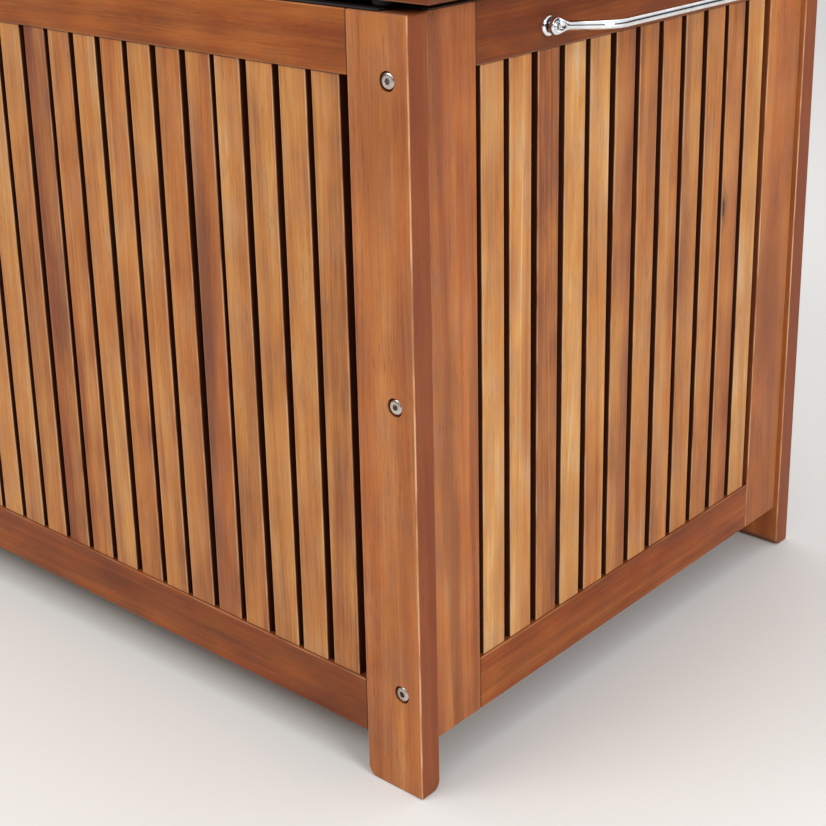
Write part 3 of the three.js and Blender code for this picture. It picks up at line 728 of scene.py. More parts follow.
def section(low, high, radius):
    """Points round a board's cross section between two corners, with rounded edges."""
    points = []
    for quarter, (sv, sw) in enumerate([(1, 1), (-1, 1), (-1, -1), (1, -1)]):
        v = (high if sv > 0 else low)[0] - sv * radius
        w = (high if sw > 0 else low)[1] - sw * radius
        for i in range(CORNER_STEPS + 1):
            angle = math.radians(90 * (quarter + i / CORNER_STEPS))
            points.append((v + radius * math.cos(angle), w + radius * math.sin(angle)))
    return points


def ring(axes, u, points):
    made = []
    for v, w in points:
        point = Vector()
        point[axes[0]], point[axes[1]], point[axes[2]] = u, v, w
        made.append(point)
    return made


def plank(bm, low, high):
    """A straight board with rounded edges and slightly rounded ends."""
    axes = grain_axes(low, high)
    run, wide, thin = axes
    stations = []
    for inset, shrink in ((0, END_ROUND), (END_ROUND, 0)):
        a = (low[wide] + shrink, low[thin] + shrink)
        b = (high[wide] - shrink, high[thin] - shrink)
        stations.append((inset, section(a, b, EDGE_ROUND)))
    rings = [ring(axes, low[run] + u, points) for u, points in stations]
    rings += [ring(axes, high[run] - u, points) for u, points in reversed(stations)]
    return loft(bm, rings)


def slat(bm, low, high):
    """A slat between its shoulders, with a tenon at each end."""
    axes = grain_axes(low, high)
    run, wide, thin = axes
    middle = (low[thin] + high[thin]) / 2
    rings = []

    def at(u, thickness, radius):
        a = (low[wide], middle - thickness / 2)
        b = (high[wide], middle + thickness / 2)
        rings.append(ring(axes, u, section(a, b, radius)))

    full = high[thin] - low[thin]
    at(low[run] - TENON_LENGTH, TENON_THICK, SLAT_ROUND)
    at(low[run], TENON_THICK, SLAT_ROUND)
    for i in range(SLAT_STATIONS):
        at(low[run] + (high[run] - low[run]) * i / (SLAT_STATIONS - 1), full, SLAT_ROUND)
    at(high[run], TENON_THICK, SLAT_ROUND)
    at(high[run] + TENON_LENGTH, TENON_THICK, SLAT_ROUND)
    return loft(bm, rings)


def arc_inset(radius, rise):
    """How far a rounded bottom edge stands back at a height above the bottom."""
    if rise >= radius:
        return 0.0
    return radius - math.sqrt(radius ** 2 - (radius - rise) ** 2)


def foot_post(bm, low, high, side, face):
    """A post plank on end, its foot rounded more on the inner side and at the back of the plank."""
    rings = []
    rises = {FOOT_ROUND * (1 - math.cos(math.pi / 2 * i / FOOT_STEPS)) for i in range(FOOT_STEPS + 1)}
    rises |= {FOOT_ROUND_OUTER * share for share in FOOT_OUTER_SHARES}
    for rise in sorted(rises):
        outer = arc_inset(FOOT_ROUND_OUTER, rise)
        inner = arc_inset(FOOT_ROUND, rise)
        xs = (inner, outer) if side > 0 else (outer, inner)
        ys = (outer, inner) if face < 0 else (inner, outer)
        a = (low[0] + xs[0], low[1] + ys[0])
        b = (high[0] - xs[1], high[1] - ys[1])
        rings.append(ring((2, 0, 1), low[2] + rise, section(a, b, EDGE_ROUND)))
    top = section(low[:2], high[:2], EDGE_ROUND)
    rings.append(ring((2, 0, 1), high[2] - END_ROUND, top))
    a = (low[0] + END_ROUND, low[1] + END_ROUND)
    b = (high[0] - END_ROUND, high[1] - END_ROUND)
    rings.append(ring((2, 0, 1), high[2], section(a, b, EDGE_ROUND)))
    return loft(bm, rings)


def stain(mesh, boards):
    """Gives each board of a mesh its own place in the tree and tone. boards: (vertices, low, high, tone)."""
    spots, piths, halves, tones, figures = [], [], [], [], []
    first = 0
    for count, low, high, tone in boards:
        axes = grain_axes(low, high)
        middle = (low + high) / 2
        half = [(high[i] - low[i]) / 2 for i in axes]
        pith = [rng.uniform(*ends) for ends in PITH_RANGES]
        light, red, streaky, step, knotty = tone
        light += rng.uniform(-LIGHT_SPREAD, LIGHT_SPREAD)
        red += rng.uniform(-RED_SPREAD, RED_SPREAD)
        step += rng.uniform(-1, 1) * streaky
        for v in mesh.vertices[first:first + count]:
            away = v.co - middle
            spots += [away[i] for i in axes]
        piths += pith * count
        halves += half * count
        tones += [light, red, streaky] * count
        figures += [step, knotty, 0] * count
        first += count
    layers = {"spot": spots, "pith": piths, "half": halves, "tone": tones, "figure": figures}
    for name, values in layers.items():
        layer = mesh.attributes.new(name, "FLOAT_VECTOR", "POINT")
        layer.data.foreach_set("vector", values)


def settle(mesh, boards):
    """Sets each slat slightly aside, leaning or bowed, as hand-fitted slats are."""
    first = 0
    for count, low, high, _ in boards:
        run, wide, _ = grain_axes(low, high)
        shift = rng.uniform(-SLAT_SHIFT, SLAT_SHIFT)
        lean = rng.uniform(-SLAT_SHIFT, SLAT_SHIFT)
        bow = rng.uniform(-SLAT_BOW, SLAT_BOW)
        for v in mesh.vertices[first:first + count]:
            share = 2 * (v.co[run] - low[run]) / (high[run] - low[run]) - 1
            v.co[wide] += shift + lean * share + bow * (1 - share * share)
        first += count


def single_board(node, finish, body, tone, build=plank, cutters=()):
    """One board in place of a CAD node, with anything cut out of it."""
    low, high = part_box(node)
    bm = bmesh.new()
    build(bm, low, high)
    mesh = mesh_of(bm, node)
    if cutters:
        mesh = carve(mesh, cutters)
    stain(mesh, [(len(mesh.vertices), low, high, tone)])
    return finish_piece(f"{node}_board", mesh, finish, body, [node])


def groove_cutter(slats, rail):
    """The groove along a rail's edge that the slats' tenons stand in."""
    low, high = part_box(slats)
    rail_low, rail_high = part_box(rail)
    row, run, thin = slat_axes(slats)
    way = 1 if rail_low[run] < low[run] else -1
    edge = (rail_high if way > 0 else rail_low)[run]
    middle = (low[thin] + high[thin]) / 2
    a, b = low.copy(), high.copy()
    a[row], b[row] = low[row] - GROOVE_OVERRUN, high[row] + GROOVE_OVERRUN
    a[thin], b[thin] = middle - GROOVE_WIDTH / 2, middle + GROOVE_WIDTH / 2
    a[run], b[run] = sorted((edge - way * GROOVE_DEPTH, edge + way * MM))
    return box_mesh(a, b)


def slat_axes(node):
    """The axes a row of slats is spread along, runs along and is thin along."""
    if node.startswith("lid"):
        return 0, 1, 2
    return (0, 2, 1) if node in ("front_slats", "back_slats") else (1, 2, 0)


def slat_row(node, rails, tones, body, name, light_lift=0.0, inset=0.0):
    """Every slat of a panel, between its two rails' edges."""
    low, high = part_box(node)
    row, run, _ = slat_axes(node)
    edges = sorted([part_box(rails[0]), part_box(rails[1])], key=lambda ends: ends[0][run])
    start, stop = edges[0][1][run], edges[1][0][run]
    count = len(tones)
    width = (high[row] - low[row] + SLAT_GAP) / count - SLAT_GAP
    bm = bmesh.new()
    boards = []
    for i, letter in enumerate(tones):
        a, b = low.copy(), high.copy()
        a[row] = low[row] + i * (width + SLAT_GAP) + inset
        b[row] = a[row] + width - 2 * inset
        a[run], b[run] = start + JOINT_GAP, stop - JOINT_GAP
        light, *rest = TONES[letter]
        # Painted light: the lift makes a panel's slats paler for the light that falls on it.
        boards.append((slat(bm, a, b), a, b, (light + light_lift, *rest)))
    mesh = mesh_of(bm, name)
    stain(mesh, boards)
    settle(mesh, boards)
    return finish_piece(name, mesh, "slat_wood", body, [node])


def rail_with_groove(node, slats, body, tone=RAIL_TONE):
    return single_board(node, "rail_wood", body, tone, cutters=[groove_cutter(slats, node)])


def bolt_nodes(face, side):
    """A post's three bolts: each one's CAD node and its middle."""
    nodes = [f"{face}_{side}_{level}_bolt" for level in ("lower", "middle", "upper")]
    return [(node, sum(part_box(node), Vector()) / 2) for node in nodes]


def bolt_cutters(side, face, place):
    """The recess that each bolt head sits in."""
    rim = place * CAD_BOX[1].y
    cutters = []
    for _, middle in bolt_nodes(face, side):
        mouth = Vector((middle.x, rim + place * MM, middle.z))
        seat = Vector((middle.x, rim - place * COUNTERBORE_DEPTH, middle.z))
        cutters.append(rod_mesh(COUNTERBORE_RADIUS, mouth, seat, sides=40))
    return cutters


def build_posts():
    for face, place in FACES.items():
        for side, way in SIDES.items():
            node = f"{face}_{side}_post"
            single_board(
                node, "post_wood", "box", POST_TONE,
                lambda bm, low, high: foot_post(bm, low, high, way, place),
                bolt_cutters(side, face, place),
            )


def build_panels():
    front_rails = (FRONT_BOTTOM_RAIL_TONE, FRONT_TOP_RAIL_TONE)
    end_rails = (END_BOTTOM_RAIL_TONE, END_TOP_RAIL_SHADOW_TONE)
    panels = {
        "front": (FRONT_TONES, front_rails, 0.0, 0.0),
        "back": (BACK_TONES, front_rails, 0.0, 0.0),
        "left_end": (LEFT_TONES, end_rails, END_SLAT_LIGHT_LIFT, END_SLAT_INSET),
        "right_end": (RIGHT_TONES, end_rails, END_SLAT_LIGHT_LIFT, END_SLAT_INSET),
    }
    for panel, (tones, rail_tones, light_lift, inset) in panels.items():
        rails = [f"{panel}_bottom_rail", f"{panel}_top_rail"]
        for rail, tone in zip(rails, rail_tones):
            rail_with_groove(rail, f"{panel}_slats", "box", tone)
        slat_row(f"{panel}_slats", rails, tones, "box", f"{panel}_slat_row", light_lift, inset)
        if panel.endswith("end"):
            for place in FACES:
                single_board(f"{panel}_{place}_stile", "post_wood", "box", STILE_TONE)


def build_lid():
    rails = ["lid_front_rail", "lid_rear_rail"]
    for rail in rails:
        rail_with_groove(rail, "lid_slats", "lid")
    for side in SIDES:
        single_board(f"lid_{side}_rail", "post_wood", "lid", STILE_TONE)
    slat_row("lid_slats", rails, LID_TONES, "lid", "lid_slat_row")


FLOOR_BOARD_GAP = 10 * MM
FLOOR_BOARD_THICK = 12 * MM
BATTEN_WIDTH = 30 * MM
BATTEN_OFFSET = 110 * MM


def floor_planks(name, planks):
    """Unoiled planks, as one piece. planks: (low corner, high corner, tone)."""
    bm = bmesh.new()
    boards = [(plank(bm, a, b), a, b, tone) for a, b, tone in planks]
    mesh = mesh_of(bm, name)
    stain(mesh, boards)
    finish_piece(name, mesh, "inner_wood", "box", ["floor_boards"])


def build_floor():
    low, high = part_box("floor_boards")
    top = high.z - FLOOR_BOARD_THICK
    pitch = (high.x - low.x + FLOOR_BOARD_GAP) / len(FLOOR_TONES)
    planks = []
    for i, letter in enumerate(FLOOR_TONES):
        a = Vector((low.x + i * pitch, low.y, top))
        planks.append((a, Vector((a.x + pitch - FLOOR_BOARD_GAP, high.y, high.z)), TONES[letter]))
    floor_planks("floor_board_row", planks)
    planks = []
    for y in (-BATTEN_OFFSET, BATTEN_OFFSET):
        a = Vector((low.x, y - BATTEN_WIDTH / 2, low.z))
        planks.append((a, Vector((high.x, y + BATTEN_WIDTH / 2, top - JOINT_GAP)), TONES["M"]))
    floor_planks("floor_batten_pair", planks)
    for face in FACES:
        single_board(f"floor_{face}_cleat", "inner_wood", "box", TONES["M"])


# ---- Bolts and screws ----

# A screw: its head's radius and height, its socket's radius, and its shank's radius and length.
BOLT = (5.9 * MM, 3.3 * MM, 2.3 * MM, (3 * MM, 57 * MM))
HANDLE_SCREW = (2.75 * MM, 0.8 * MM, 1.7 * MM, (2.4 * MM, 3 * MM))
BOLT_SEAT_GAP = MM / 4
# A button head, in shares of its radius and height: its rim, and the dome from there to its socket.
HEAD_RIM = ((0.94, 0), (1, 0.12), (1, 0.3))
DOME_STEPS = 6
DOME_SHRINK = 0.4
SHANK_POINT = 0.8
SOCKET_MOUTH = 1.18
SOCKET_DEPTH = 1.5


def scaled(shares, radius=MM, height=MM, start=0.0):
    """A turned outline from shares of a radius and a height, which are in millimetres unless given."""
    return [(radius * share, start + height * rise) for share, rise in shares]


def socket_screw_mesh(radius, height, socket, shank):
    """A button head screw along +Z with a hexagon socket, the underside of its head at z = 0."""
    shank_radius, reach = shank
    outline = [(shank_radius * SHANK_POINT, -reach), (shank_radius, MM - reach), (shank_radius, 0)]
    outline += scaled(HEAD_RIM, radius, height)
    start = HEAD_RIM[-1][1]
    for i in range(1, DOME_STEPS + 1):
        angle = math.pi / 2 * i / DOME_STEPS
        share = 1 - DOME_SHRINK * (1 - math.cos(angle))
        outline.append((radius * share, height * (start + (1 - start) * math.sin(angle))))
    outline.append((socket * SOCKET_MOUTH, height))
    bm = bmesh.new()
    turned(bm, outline, (0, 0, 0), (0, 0, 1), sides=40)
    hexagon = rod_mesh(socket, (0, 0, height - SOCKET_DEPTH * socket), (0, 0, height + MM), sides=6)
    return smooth(carve(mesh_of(bm, "socket_screw"), [hexagon]))


def placed_copy(mesh, name, place, direction, turn):
    """A copy of a mesh drawn along +Z, moved into place along direction."""
    copy = mesh.copy()
    copy.name = name
    tilt = Vector((0, 0, 1)).rotation_difference(Vector(direction)).to_matrix().to_4x4()
    copy.transform(Matrix.Translation(place) @ tilt @ Matrix.Rotation(turn, 4, "Z"))
    return copy


def build_bolts():
    screw = socket_screw_mesh(*BOLT)
    for face, way in FACES.items():
        for side in SIDES:
            for node, place in bolt_nodes(face, side):
                place.y = way * (CAD_BOX[1].y - COUNTERBORE_DEPTH + BOLT_SEAT_GAP)
                mesh = placed_copy(screw, node, place, (0, way, 0), rng.uniform(0, math.pi / 3))
                finish_piece(f"{node}_hex_head", mesh, "steel", "box", [node])


# ---- Handles ----

HANDLE_BAR_RADIUS = 3.25 * MM
ROSETTE_RADIUS = 7.25 * MM
ROSETTE_THICK = 3.5 * MM
SPACER_RADIUS = 4.6 * MM
SPACER_THICK = 1.5 * MM
TAB_RADIUS = 5.75 * MM
TAB_THICK = 4 * MM
TAB_FLATNESS = 0.4
TAB_STEPS = 9
TAB_SEAT_RADIUS = 3.8 * MM
TAB_SEAT_HEIGHT = 0.5 * MM
HANDLE_TAPER_START = 7 * MM
HANDLE_TAPER = 9 * MM
HANDLE_DENT = 1.1 * MM
HANDLE_BEND_INSET = 28.5 * MM
HANDLE_BEND_SHARE = 0.28
HANDLE_BEND_REACH = 10 * MM
HANDLE_STEPS = 14
HANDLE_SIDES = 40
TAB_RUN = 3.5 * MM
TAB_LEAVE = 0.25
TAB_EDGE = 1.2 * MM
TAB_EDGE_SHARE = 0.6
TAB_TIP = 0.02
DENT_WIDTH = 0.32
# Outlines in shares of a radius and a height.
ROSETTE = ((1, 0), (1, 0.5), (0.97, 0.68), (0.88, 0.86), (0.76, 0.97), (SPACER_RADIUS / ROSETTE_RADIUS, 1))
TAB_SEAT = ((1, -1), (1, 0.5), (0.94, 0.9), (0.88, 1), (0.83, 0.8), (0.8, -0.4))


def quadratic(a, b, c, steps):
    points = []
    for i in range(steps):
        t = i / steps
        points.append(a * (1 - t) ** 2 + b * 2 * t * (1 - t) + c * t * t)
    return points


def straight(a, b, steps):
    return [a.lerp(b, i / steps) for i in range(steps)]


def eased(share):
    share = min(1.0, max(0.0, share))
    return share * share * (3 - 2 * share)


def handle_route(foot, grip, z, side):
    """The bar's centre line from one tab's far end to the other's. foot and grip are (x, y)."""
    foot_x, foot_y = foot
    grip_x, grip_y = grip

    def at(x, y):
        return Vector((side * x, y, z))

    bend = at(
        grip_x - (grip_x - foot_x) * HANDLE_BEND_SHARE,
        grip_y + (foot_y - grip_y) * HANDLE_BEND_SHARE,
    )
    angles = [math.pi / 2 * i / TAB_STEPS for i in range(TAB_STEPS)]
    half = [at(foot_x, foot_y + TAB_RADIUS * math.cos(angle)) for angle in angles]
    rise = at(foot_x, foot_y - TAB_RUN)
    leave = rise.lerp(bend, TAB_LEAVE)
    half += straight(at(foot_x, foot_y), at(foot_x, foot_y - MM), 2)
    half += quadratic(at(foot_x, foot_y - MM), rise, leave, TAB_STEPS)
    half += straight(leave, bend, HANDLE_STEPS)
    half += quadratic(bend, at(grip_x, grip_y), at(grip_x, grip_y - HANDLE_BEND_REACH), HANDLE_STEPS)
    half.append(at(grip_x, grip_y - HANDLE_BEND_REACH))
    return half + [Vector((p.x, -p.y, p.z)) for p in reversed(half)]


def handle_section(point, outward, from_end):
    """Points round the bar: a flat tab at its end, then a pinched cone, then round."""
    share = eased((from_end - HANDLE_TAPER_START) / HANDLE_TAPER)
    across = math.sqrt(max(TAB_TIP, 1 - max(0.0, 1 - from_end / TAB_RADIUS) ** 2)) * TAB_RADIUS
    half_height = across + (HANDLE_BAR_RADIUS - across) * share
    half_thick = TAB_THICK / 2 * (TAB_EDGE_SHARE + (1 - TAB_EDGE_SHARE) * eased(from_end / TAB_EDGE))
    half_thick += (HANDLE_BAR_RADIUS - half_thick) * share
    power = TAB_FLATNESS + (1 - TAB_FLATNESS) * share
    dent = HANDLE_DENT * math.sin(math.pi * min(1.0, share)) ** 2
    points = []
    for i in range(HANDLE_SIDES):
        angle = 2 * math.pi * i / HANDLE_SIDES
        c, s = math.cos(angle), math.sin(angle)
        up = math.copysign(abs(c) ** power, c) * half_height
        out = math.copysign(abs(s) ** power, s) * half_thick
        if s > 0:
            out -= dent * math.exp(-((c / DENT_WIDTH) ** 2))
        points.append(point + Vector((0, 0, up)) + outward * out)
    return points


def handle_bar(route, way):
    """The bar's mesh along its route, with its outward side known at every point."""
    ahead = [b - a for a, b in zip(route, route[1:])]
    tangents = [ahead[0]] + [(a + b) / 2 for a, b in zip(ahead, ahead[1:])] + [ahead[-1]]
    run = [0.0]
    for step in ahead:
        run.append(run[-1] + step.length)
    rings = []
    for point, tangent, reach in zip(route, tangents, run):
        outward = tangent.normalized().cross(Vector((0, 0, 1))) * -way
        rings.append(handle_section(point, outward, min(reach, run[-1] - reach)))
    bm = bmesh.new()
    loft(bm, rings)
    return mesh_of(bm, "handle_bar")


def handle(side, way):
    node = f"{side}_handle"
    low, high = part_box(node)
    base, reach = (low.x, high.x) if way > 0 else (-high.x, -low.x)
    z = (low.z + high.z) / 2
    foot_y = high.y - ROSETTE_RADIUS
    tab = base + ROSETTE_THICK + SPACER_THICK
    grip = (reach - HANDLE_BAR_RADIUS, foot_y - HANDLE_BEND_INSET)
    mesh = handle_bar(handle_route((tab + TAB_THICK / 2, foot_y), grip, z, way), way)
    finish_piece(f"{node}_bar", smooth(mesh, angle=40), "chrome", "box", [node])
    rosette = scaled(ROSETTE, ROSETTE_RADIUS, ROSETTE_THICK)
    seat = scaled(TAB_SEAT, TAB_SEAT_RADIUS, TAB_SEAT_HEIGHT)
    # Painted reflection: the black rubber spacer between each rosette and its tab stands in for the dark
    # reflection at the handle's neck.
    spacer = [(SPACER_RADIUS, ROSETTE_THICK), (SPACER_RADIUS, ROSETTE_THICK + SPACER_THICK)]
    outward = (way, 0, 0)
    bases, dark_reflection_spacers, screws = [], [], []
    for y in (-foot_y, foot_y):
        foot, face = (way * base, y, z), (way * (tab + TAB_THICK), y, z)
        bases += [(rosette, foot, outward, 40), (seat, face, outward, 40)]
        dark_reflection_spacers.append((spacer, foot, outward, 36))
        screws.append(Vector(face))
    turned_piece(f"{node}_bases", "chrome", "box", node, bases)
    turned_piece(f"{node}_spacers", "rubber", "box", node, dark_reflection_spacers)
    screw = socket_screw_mesh(*HANDLE_SCREW)
    for place, spot in zip(FACES, screws):
        mesh = placed_copy(screw, node, spot, outward, rng.uniform(0, math.pi / 3))
        finish_piece(f"{node}_{place}_screw", mesh, "chrome", "box", [node])


# ---- Gas struts ----

TUBE_START = 12 * MM
TUBE_END = 126 * MM
ROD_RADIUS = 3 * MM
EYE_RADIUS = 7 * MM
EYE_HALF = 5 * MM
STRUT_PIN_RADIUS = 3 * MM
PIN_CHAMFER = 0.5 * MM
ROD_START = 28 * MM
ROD_END_INSET = 12 * MM
# Outlines: the eye in shares of its radius and half its width, the others in millimetres, the tube's
# from its ends.
EYE = ((0.72, -1), (0.92, -0.8), (1, -0.4), (1, 0.4), (0.92, 0.8), (0.72, 1))
NECK = ((4.6, 5), (4.6, 8.4), (3.9, 9), (3.9, 13), (3.4, 13.6))
TUBE_FOOT = ((4, -1.5), (5.6, 0), (6.975, 0.8), (7.5, 2.2))
TUBE_HEAD = (
    (7.5, -9), (7.05, -8.2), (7.05, -7), (7.5, -6.2), (7.5, -1.6),
    (6.75, -0.4), (5.4, 0), (3.8, 0), (3.3, -1.2),
)


def ball_socket(centre, along, across):
    """A moulded ball socket: a rounded eye with a neck that screws onto the strut's end."""
    eye = scaled(EYE, EYE_RADIUS, EYE_HALF)
    return [(eye, centre, across, 32), (scaled(NECK), centre, along, 6)]


def strut(side, way):
    cylinder, rod = f"{side}_strut_cylinder", f"{side}_strut_rod"
    low_pin = Vector(JOINTS[f"{side}_strut_pivot"]["pos_m"])
    along = Vector(JOINTS[f"{side}_strut_slide"]["axis"]).normalized()
    across = Vector((way, 0, 0))
    rod_low, rod_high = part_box(rod)
    reach = (rod_high.z - EYE_RADIUS - low_pin.z) / along.z
    high_pin = low_pin + along * reach
    tube = scaled(TUBE_FOOT, start=TUBE_START) + scaled(TUBE_HEAD, start=TUBE_END)
    shaft = [(ROD_RADIUS, ROD_START), (ROD_RADIUS, reach - ROD_END_INSET)]
    pin_end = abs((rod_high if way > 0 else rod_low).x - high_pin.x)
    pin = [
        (STRUT_PIN_RADIUS, EYE_HALF - MM),
        (STRUT_PIN_RADIUS, pin_end - PIN_CHAMFER),
        (STRUT_PIN_RADIUS - PIN_CHAMFER, pin_end),
    ]
    pieces = [
        (cylinder, "tube", "black_enamel", [(tube, low_pin, along, 40)]),
        (cylinder, "socket", "rubber", ball_socket(low_pin, along, across)),
        (rod, "shaft", "chrome", [(shaft, low_pin, along, 32)]),
        (rod, "socket", "rubber", ball_socket(high_pin, -along, across)),
        (rod, "pin", "steel", [(pin, high_pin, across, 28)]),
    ]
    for node, kind, finish, parts in pieces:
        turned_piece(f"{node}_{kind}", finish, node.replace("strut_", ""), node, parts)


# ---- Hinges, brackets, bumpers ----

SCREW_HEAD = ((0.96, -0.9), (3.2, -0.1), (3.008, 0.18), (1.28, 0.3))
SCREW_CROSS = (1.9 * MM, 0.35 * MM, 0.45 * MM)
SCREW_CROSS_HEIGHT = 0.3 * MM
EDGE_WIDTH = 0.25 * MM
BRACKET_EDGE_WIDTH = 0.5 * MM
EDGE_ANGLE = 50
# Where the screws are: along and across a hinge leaf as shares of it, and in a bracket from its middle.
LEAF_SCREWS = (0.14, 0.5, 0.86)
LEAF_SCREW_ROW = 0.32
LEAF_THICK = 1.5 * MM
BRACKET_THICK = 2 * MM
LOWER_SCREWS = [(y * MM, z * MM) for y in (-9, 9) for z in (-14, 14)]
UPPER_SCREWS = (-11 * MM, 11 * MM)
UPPER_SCREW_INSET = MM
# A bumper's outline, in shares of its radius and height.
BUMPER = ((1, 0), (1, 0.45), (0.95, 0.7), (0.82, 0.9), (0.62, 0.985), (0.34, 1), (0.28, 0.86))


def soften(node, finish, width=EDGE_WIDTH):
    """A CAD node whose shape is kept: its edges are eased and it gets its finish."""
    piece = NODES[node]
    piece.data.materials.clear()
    piece.data.materials.append(FINISHES[finish])
    change = piece.modifiers.new("eased_edges", "BEVEL")
    change.width = width
    change.segments = 2
    change.limit_method = "ANGLE"
    change.angle_limit = math.radians(EDGE_ANGLE)


def screw_set(name, body, places, direction):
    """Countersunk screws with cross recesses, their faces at places, as one piece."""
    bm = bmesh.new()
    for place in places:
        turned(bm, scaled(SCREW_HEAD), place, direction, sides=28)
    axis = Vector(direction)
    first = axis.orthogonal().normalized()
    cutters = []
    for place in places:
        for arm in (first, axis.cross(first)):
            bar = box_mesh((-1, -1, -1), (1, 1, 1))
            sized = Matrix.Diagonal((*SCREW_CROSS, 1))
            turn = Matrix((arm, axis.cross(arm), axis)).transposed().to_4x4()
            bar.transform(Matrix.Translation(place + axis * SCREW_CROSS_HEIGHT) @ turn @ sized)
            cutters.append(bar)
    finish_piece(name, smooth(carve(mesh_of(bm, name), cutters)), "steel", body)


def hinge(side):
    body_leaf, lid_leaf = f"{side}_hinge_body_leaf", f"{side}_hinge_lid_leaf"
    for node in (body_leaf, lid_leaf, f"{side}_hinge_pin"):
        soften(node, "steel")
    low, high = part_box(body_leaf)
    y = low.y + (high.y - low.y) * LEAF_SCREW_ROW
    xs = [low.x + (high.x - low.x) * share for share in LEAF_SCREWS]
    top, under = low.z + LEAF_THICK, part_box(lid_leaf)[1].z - LEAF_THICK
    for kind, body, z, way in (("body", "box", top, 1), ("lid", "lid", under, -1)):
        screw_set(f"{side}_hinge_{kind}_screws", body, [Vector((x, y, z)) for x in xs], (0, 0, way))


def brackets(side, way):
    lower, upper = f"{side}_strut_lower_bracket", f"{side}_strut_upper_bracket"
    for node in (lower, upper):
        soften(node, "steel", BRACKET_EDGE_WIDTH)
    low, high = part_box(lower)
    face = (high.x if way > 0 else low.x) - way * BRACKET_THICK
    _, pivot_y, pivot_z = JOINTS[f"{side}_strut_pivot"]["pos_m"]
    places = [Vector((face, pivot_y + y, pivot_z + z)) for y, z in LOWER_SCREWS]
    screw_set(f"{side}_lower_bracket_screws", "box", places, (-way, 0, 0))
    low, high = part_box(upper)
    middle = (low + high) / 2
    x = middle.x - way * UPPER_SCREW_INSET
    places = [Vector((x, middle.y + y, high.z - BRACKET_THICK)) for y in UPPER_SCREWS]
    screw_set(f"{side}_upper_bracket_screws", "lid", places, (0, 0, -1))


def bumper(side):
    node = f"lid_{side}_bumper"
    low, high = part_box(node)
    top = (low + high) / 2
    top.z = high.z
    outline = scaled(BUMPER, (high.x - low.x) / 2, high.z - low.z)
    turned_piece(f"{node}_pad", "rubber", "lid", node, [(outline, top, (0, 0, -1), 40)], angle=40)


# ---- Liner ----

LINER_THICK = 0.7 * MM
LINER_CELL = 14 * MM
LONG_WALL_SLACK = 8 * MM
END_WALL_SLACK = 2 * MM
BASE_SLACK = 4 * MM
FLAP_LIFT = 0.5 * MM
FLAP_WAVES = 16
FLAP_SLICE = 3
FLAP_STEEPNESS = 8
WALL_GAP = 2.2 * MM
RIM_DROP = 0.7 * MM
HELD_BESIDE = 0.18
HELD_BELOW = 0.12
HELD_ABOVE = 0.25
FOLD_SCALE = Vector((13, 13, 2.2))
CREASE_SCALE = Vector((34, 34, 13))
CREASE_OFFSET = Vector((5, 0, 0))
FOLD_SHARES = (0.5, 0.9, 0.3)
WELD = 0.2 * MM
# The hem's cross section in millimetres: inwards and upwards.
HEM = ((-3.2, -0.3), (-2.6, -0.55), (1.6, -0.55), (2.2, 0), (1.6, 0.55), (-2.6, 0.55), (-3.2, 0.3))


def grid(bm, origin, first, second, cells, shape):
    """A patch of cloth from origin along two edges. shape(point, s, t) moves each point of it."""
    rows = []
    for i in range(cells[0] + 1):
        row = []
        for j in range(cells[1] + 1):
            s, t = i / cells[0], j / cells[1]
            row.append(bm.verts.new(shape(origin + first * s + second * t, s, t)))
        rows.append(row)
    for i in range(cells[0]):
        for j in range(cells[1]):
            bm.faces.new((rows[i][j], rows[i + 1][j], rows[i + 1][j + 1], rows[i][j + 1]))


def slack(inward, amount, tight_top=True):
    """How a liner wall hangs: held at its edges, with loose folds that lean inwards."""
    even, fold_share, crease_share = FOLD_SHARES

    def shape(point, s, t):
        held = min(s, 1 - s, HELD_BESIDE) / HELD_BESIDE * min(t, HELD_BELOW) / HELD_BELOW
        if tight_top:
            held *= min(1 - t, HELD_ABOVE) / HELD_ABOVE
        folds = noise.noise(point * FOLD_SCALE)
        creases = noise.noise(point * CREASE_SCALE + CREASE_OFFSET)
        push = amount * (even + fold_share * folds + crease_share * creases) * held
        return point + inward * max(0.0, push)
    return shape


def lie(point, s, t):
    """How the flap lies on the rails: a little wavy between its edges."""
    wave = noise.noise(Vector((point.x * FLAP_WAVES, point.y * FLAP_WAVES, FLAP_SLICE)))
    return point + Vector((0, 0, FLAP_LIFT * wave * min(1, FLAP_STEEPNESS * t * (1 - t))))


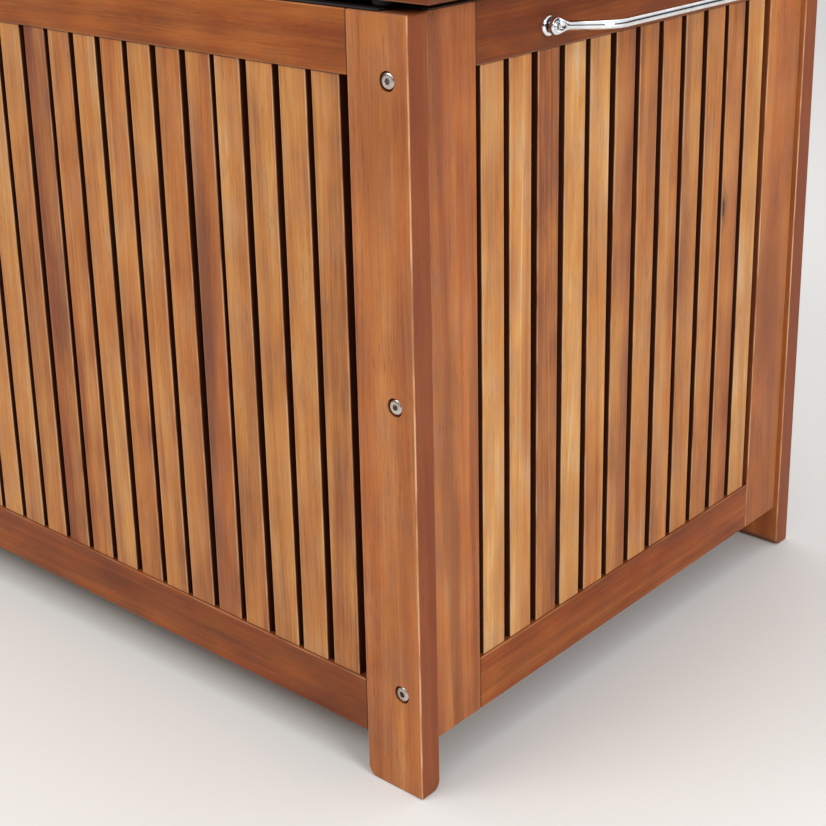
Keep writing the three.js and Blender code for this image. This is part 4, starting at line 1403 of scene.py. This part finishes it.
def build_liner():
    low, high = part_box("liner")
    wall_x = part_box("right_end_slats")[0].x - WALL_GAP
    wall_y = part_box("back_slats")[0].y - WALL_GAP
    base, rim = low.z + MM, high.z - RIM_DROP
    flap_x, flap_y = high.x - MM, low.y + MM
    size = Vector((2 * wall_x, 2 * wall_y, rim - base))
    x_cells, y_cells, z_cells = [max(4, round(length / LINER_CELL)) for length in size]
    along_x, along_y, up = Vector((size.x, 0, 0)), Vector((0, size.y, 0)), Vector((0, 0, size.z))
    corner = Vector((-wall_x, -wall_y, base))
    walls = [
        (corner, along_x, x_cells, (0, 1, 0), LONG_WALL_SLACK),
        (corner, along_y, y_cells, (1, 0, 0), END_WALL_SLACK),
        (corner + along_x, along_y, y_cells, (-1, 0, 0), END_WALL_SLACK),
        (corner + along_y, along_x, x_cells, (0, -1, 0), LONG_WALL_SLACK),
    ]
    bm = bmesh.new()
    for start, along, cells, inward, amount in walls:
        grid(bm, start, along, up, (cells, z_cells), slack(Vector(inward), amount))
    grid(bm, corner, along_x, along_y, (x_cells, y_cells), slack(Vector((0, 0, 1)), BASE_SLACK, False))
    grid(bm, corner + up, along_x, Vector((0, flap_y + wall_y, 0)), (x_cells, 2), lie)
    for way in (-1, 1):
        edge = Vector((way * wall_x, -wall_y, rim))
        grid(bm, edge, along_y, Vector((way * (flap_x - wall_x), 0, 0)), (y_cells, 2), lie)
    bmesh.ops.remove_doubles(bm, verts=bm.verts, dist=WELD)
    mesh = smooth(mesh_of(bm, "liner_bag"), angle=60)
    bag = finish_piece("liner_bag", mesh, "liner_fabric", "box", ["liner"])
    thicken = bag.modifiers.new("cloth_thickness", "SOLIDIFY")
    thicken.thickness = LINER_THICK
    thicken.offset = 0
    hem = build_hem(wall_x, wall_y, flap_x, flap_y, rim)
    area = size.x * size.y + 2 * (size.x + size.y) * size.z
    area += size.x * (-wall_y - flap_y) + 2 * size.y * (flap_x - wall_x)
    rests = [f"{panel}_top_rail_board" for panel in ("front", "left_end", "right_end")]
    rests.append("floor_board_row")


def build_hem(wall_x, wall_y, flap_x, flap_y, rim):
    """The bound edge along the flap's outer sides."""
    lines = [((-wall_x, flap_y), (wall_x, flap_y))]
    lines += [((x, -wall_y), (x, wall_y)) for x in (-flap_x, flap_x)]
    bm = bmesh.new()
    for a, b in lines:
        a, b = Vector((*a, rim)), Vector((*b, rim))
        aside = (b - a).normalized().cross(Vector((0, 0, 1)))
        steps = round((b - a).length / LINER_CELL)
        rings = []
        for i in range(steps + 1):
            centre = a.lerp(b, i / steps)
            rings.append([centre + aside * (p * MM) + Vector((0, 0, q * MM)) for p, q in HEM])
        loft(bm, rings)
    return finish_piece("liner_hem", smooth(mesh_of(bm, "liner_hem"), angle=50), "liner_fabric", "box")


# ---- Assembly ----

add_camera()
add_studio()
build_posts()
build_panels()
build_lid()
build_floor()
build_bolts()
build_liner()
for side, way in SIDES.items():
    handle(side, way)
    strut(side, way)
    hinge(side)
    brackets(side, way)
    bumper(side)

bpy.context.view_layer.update()
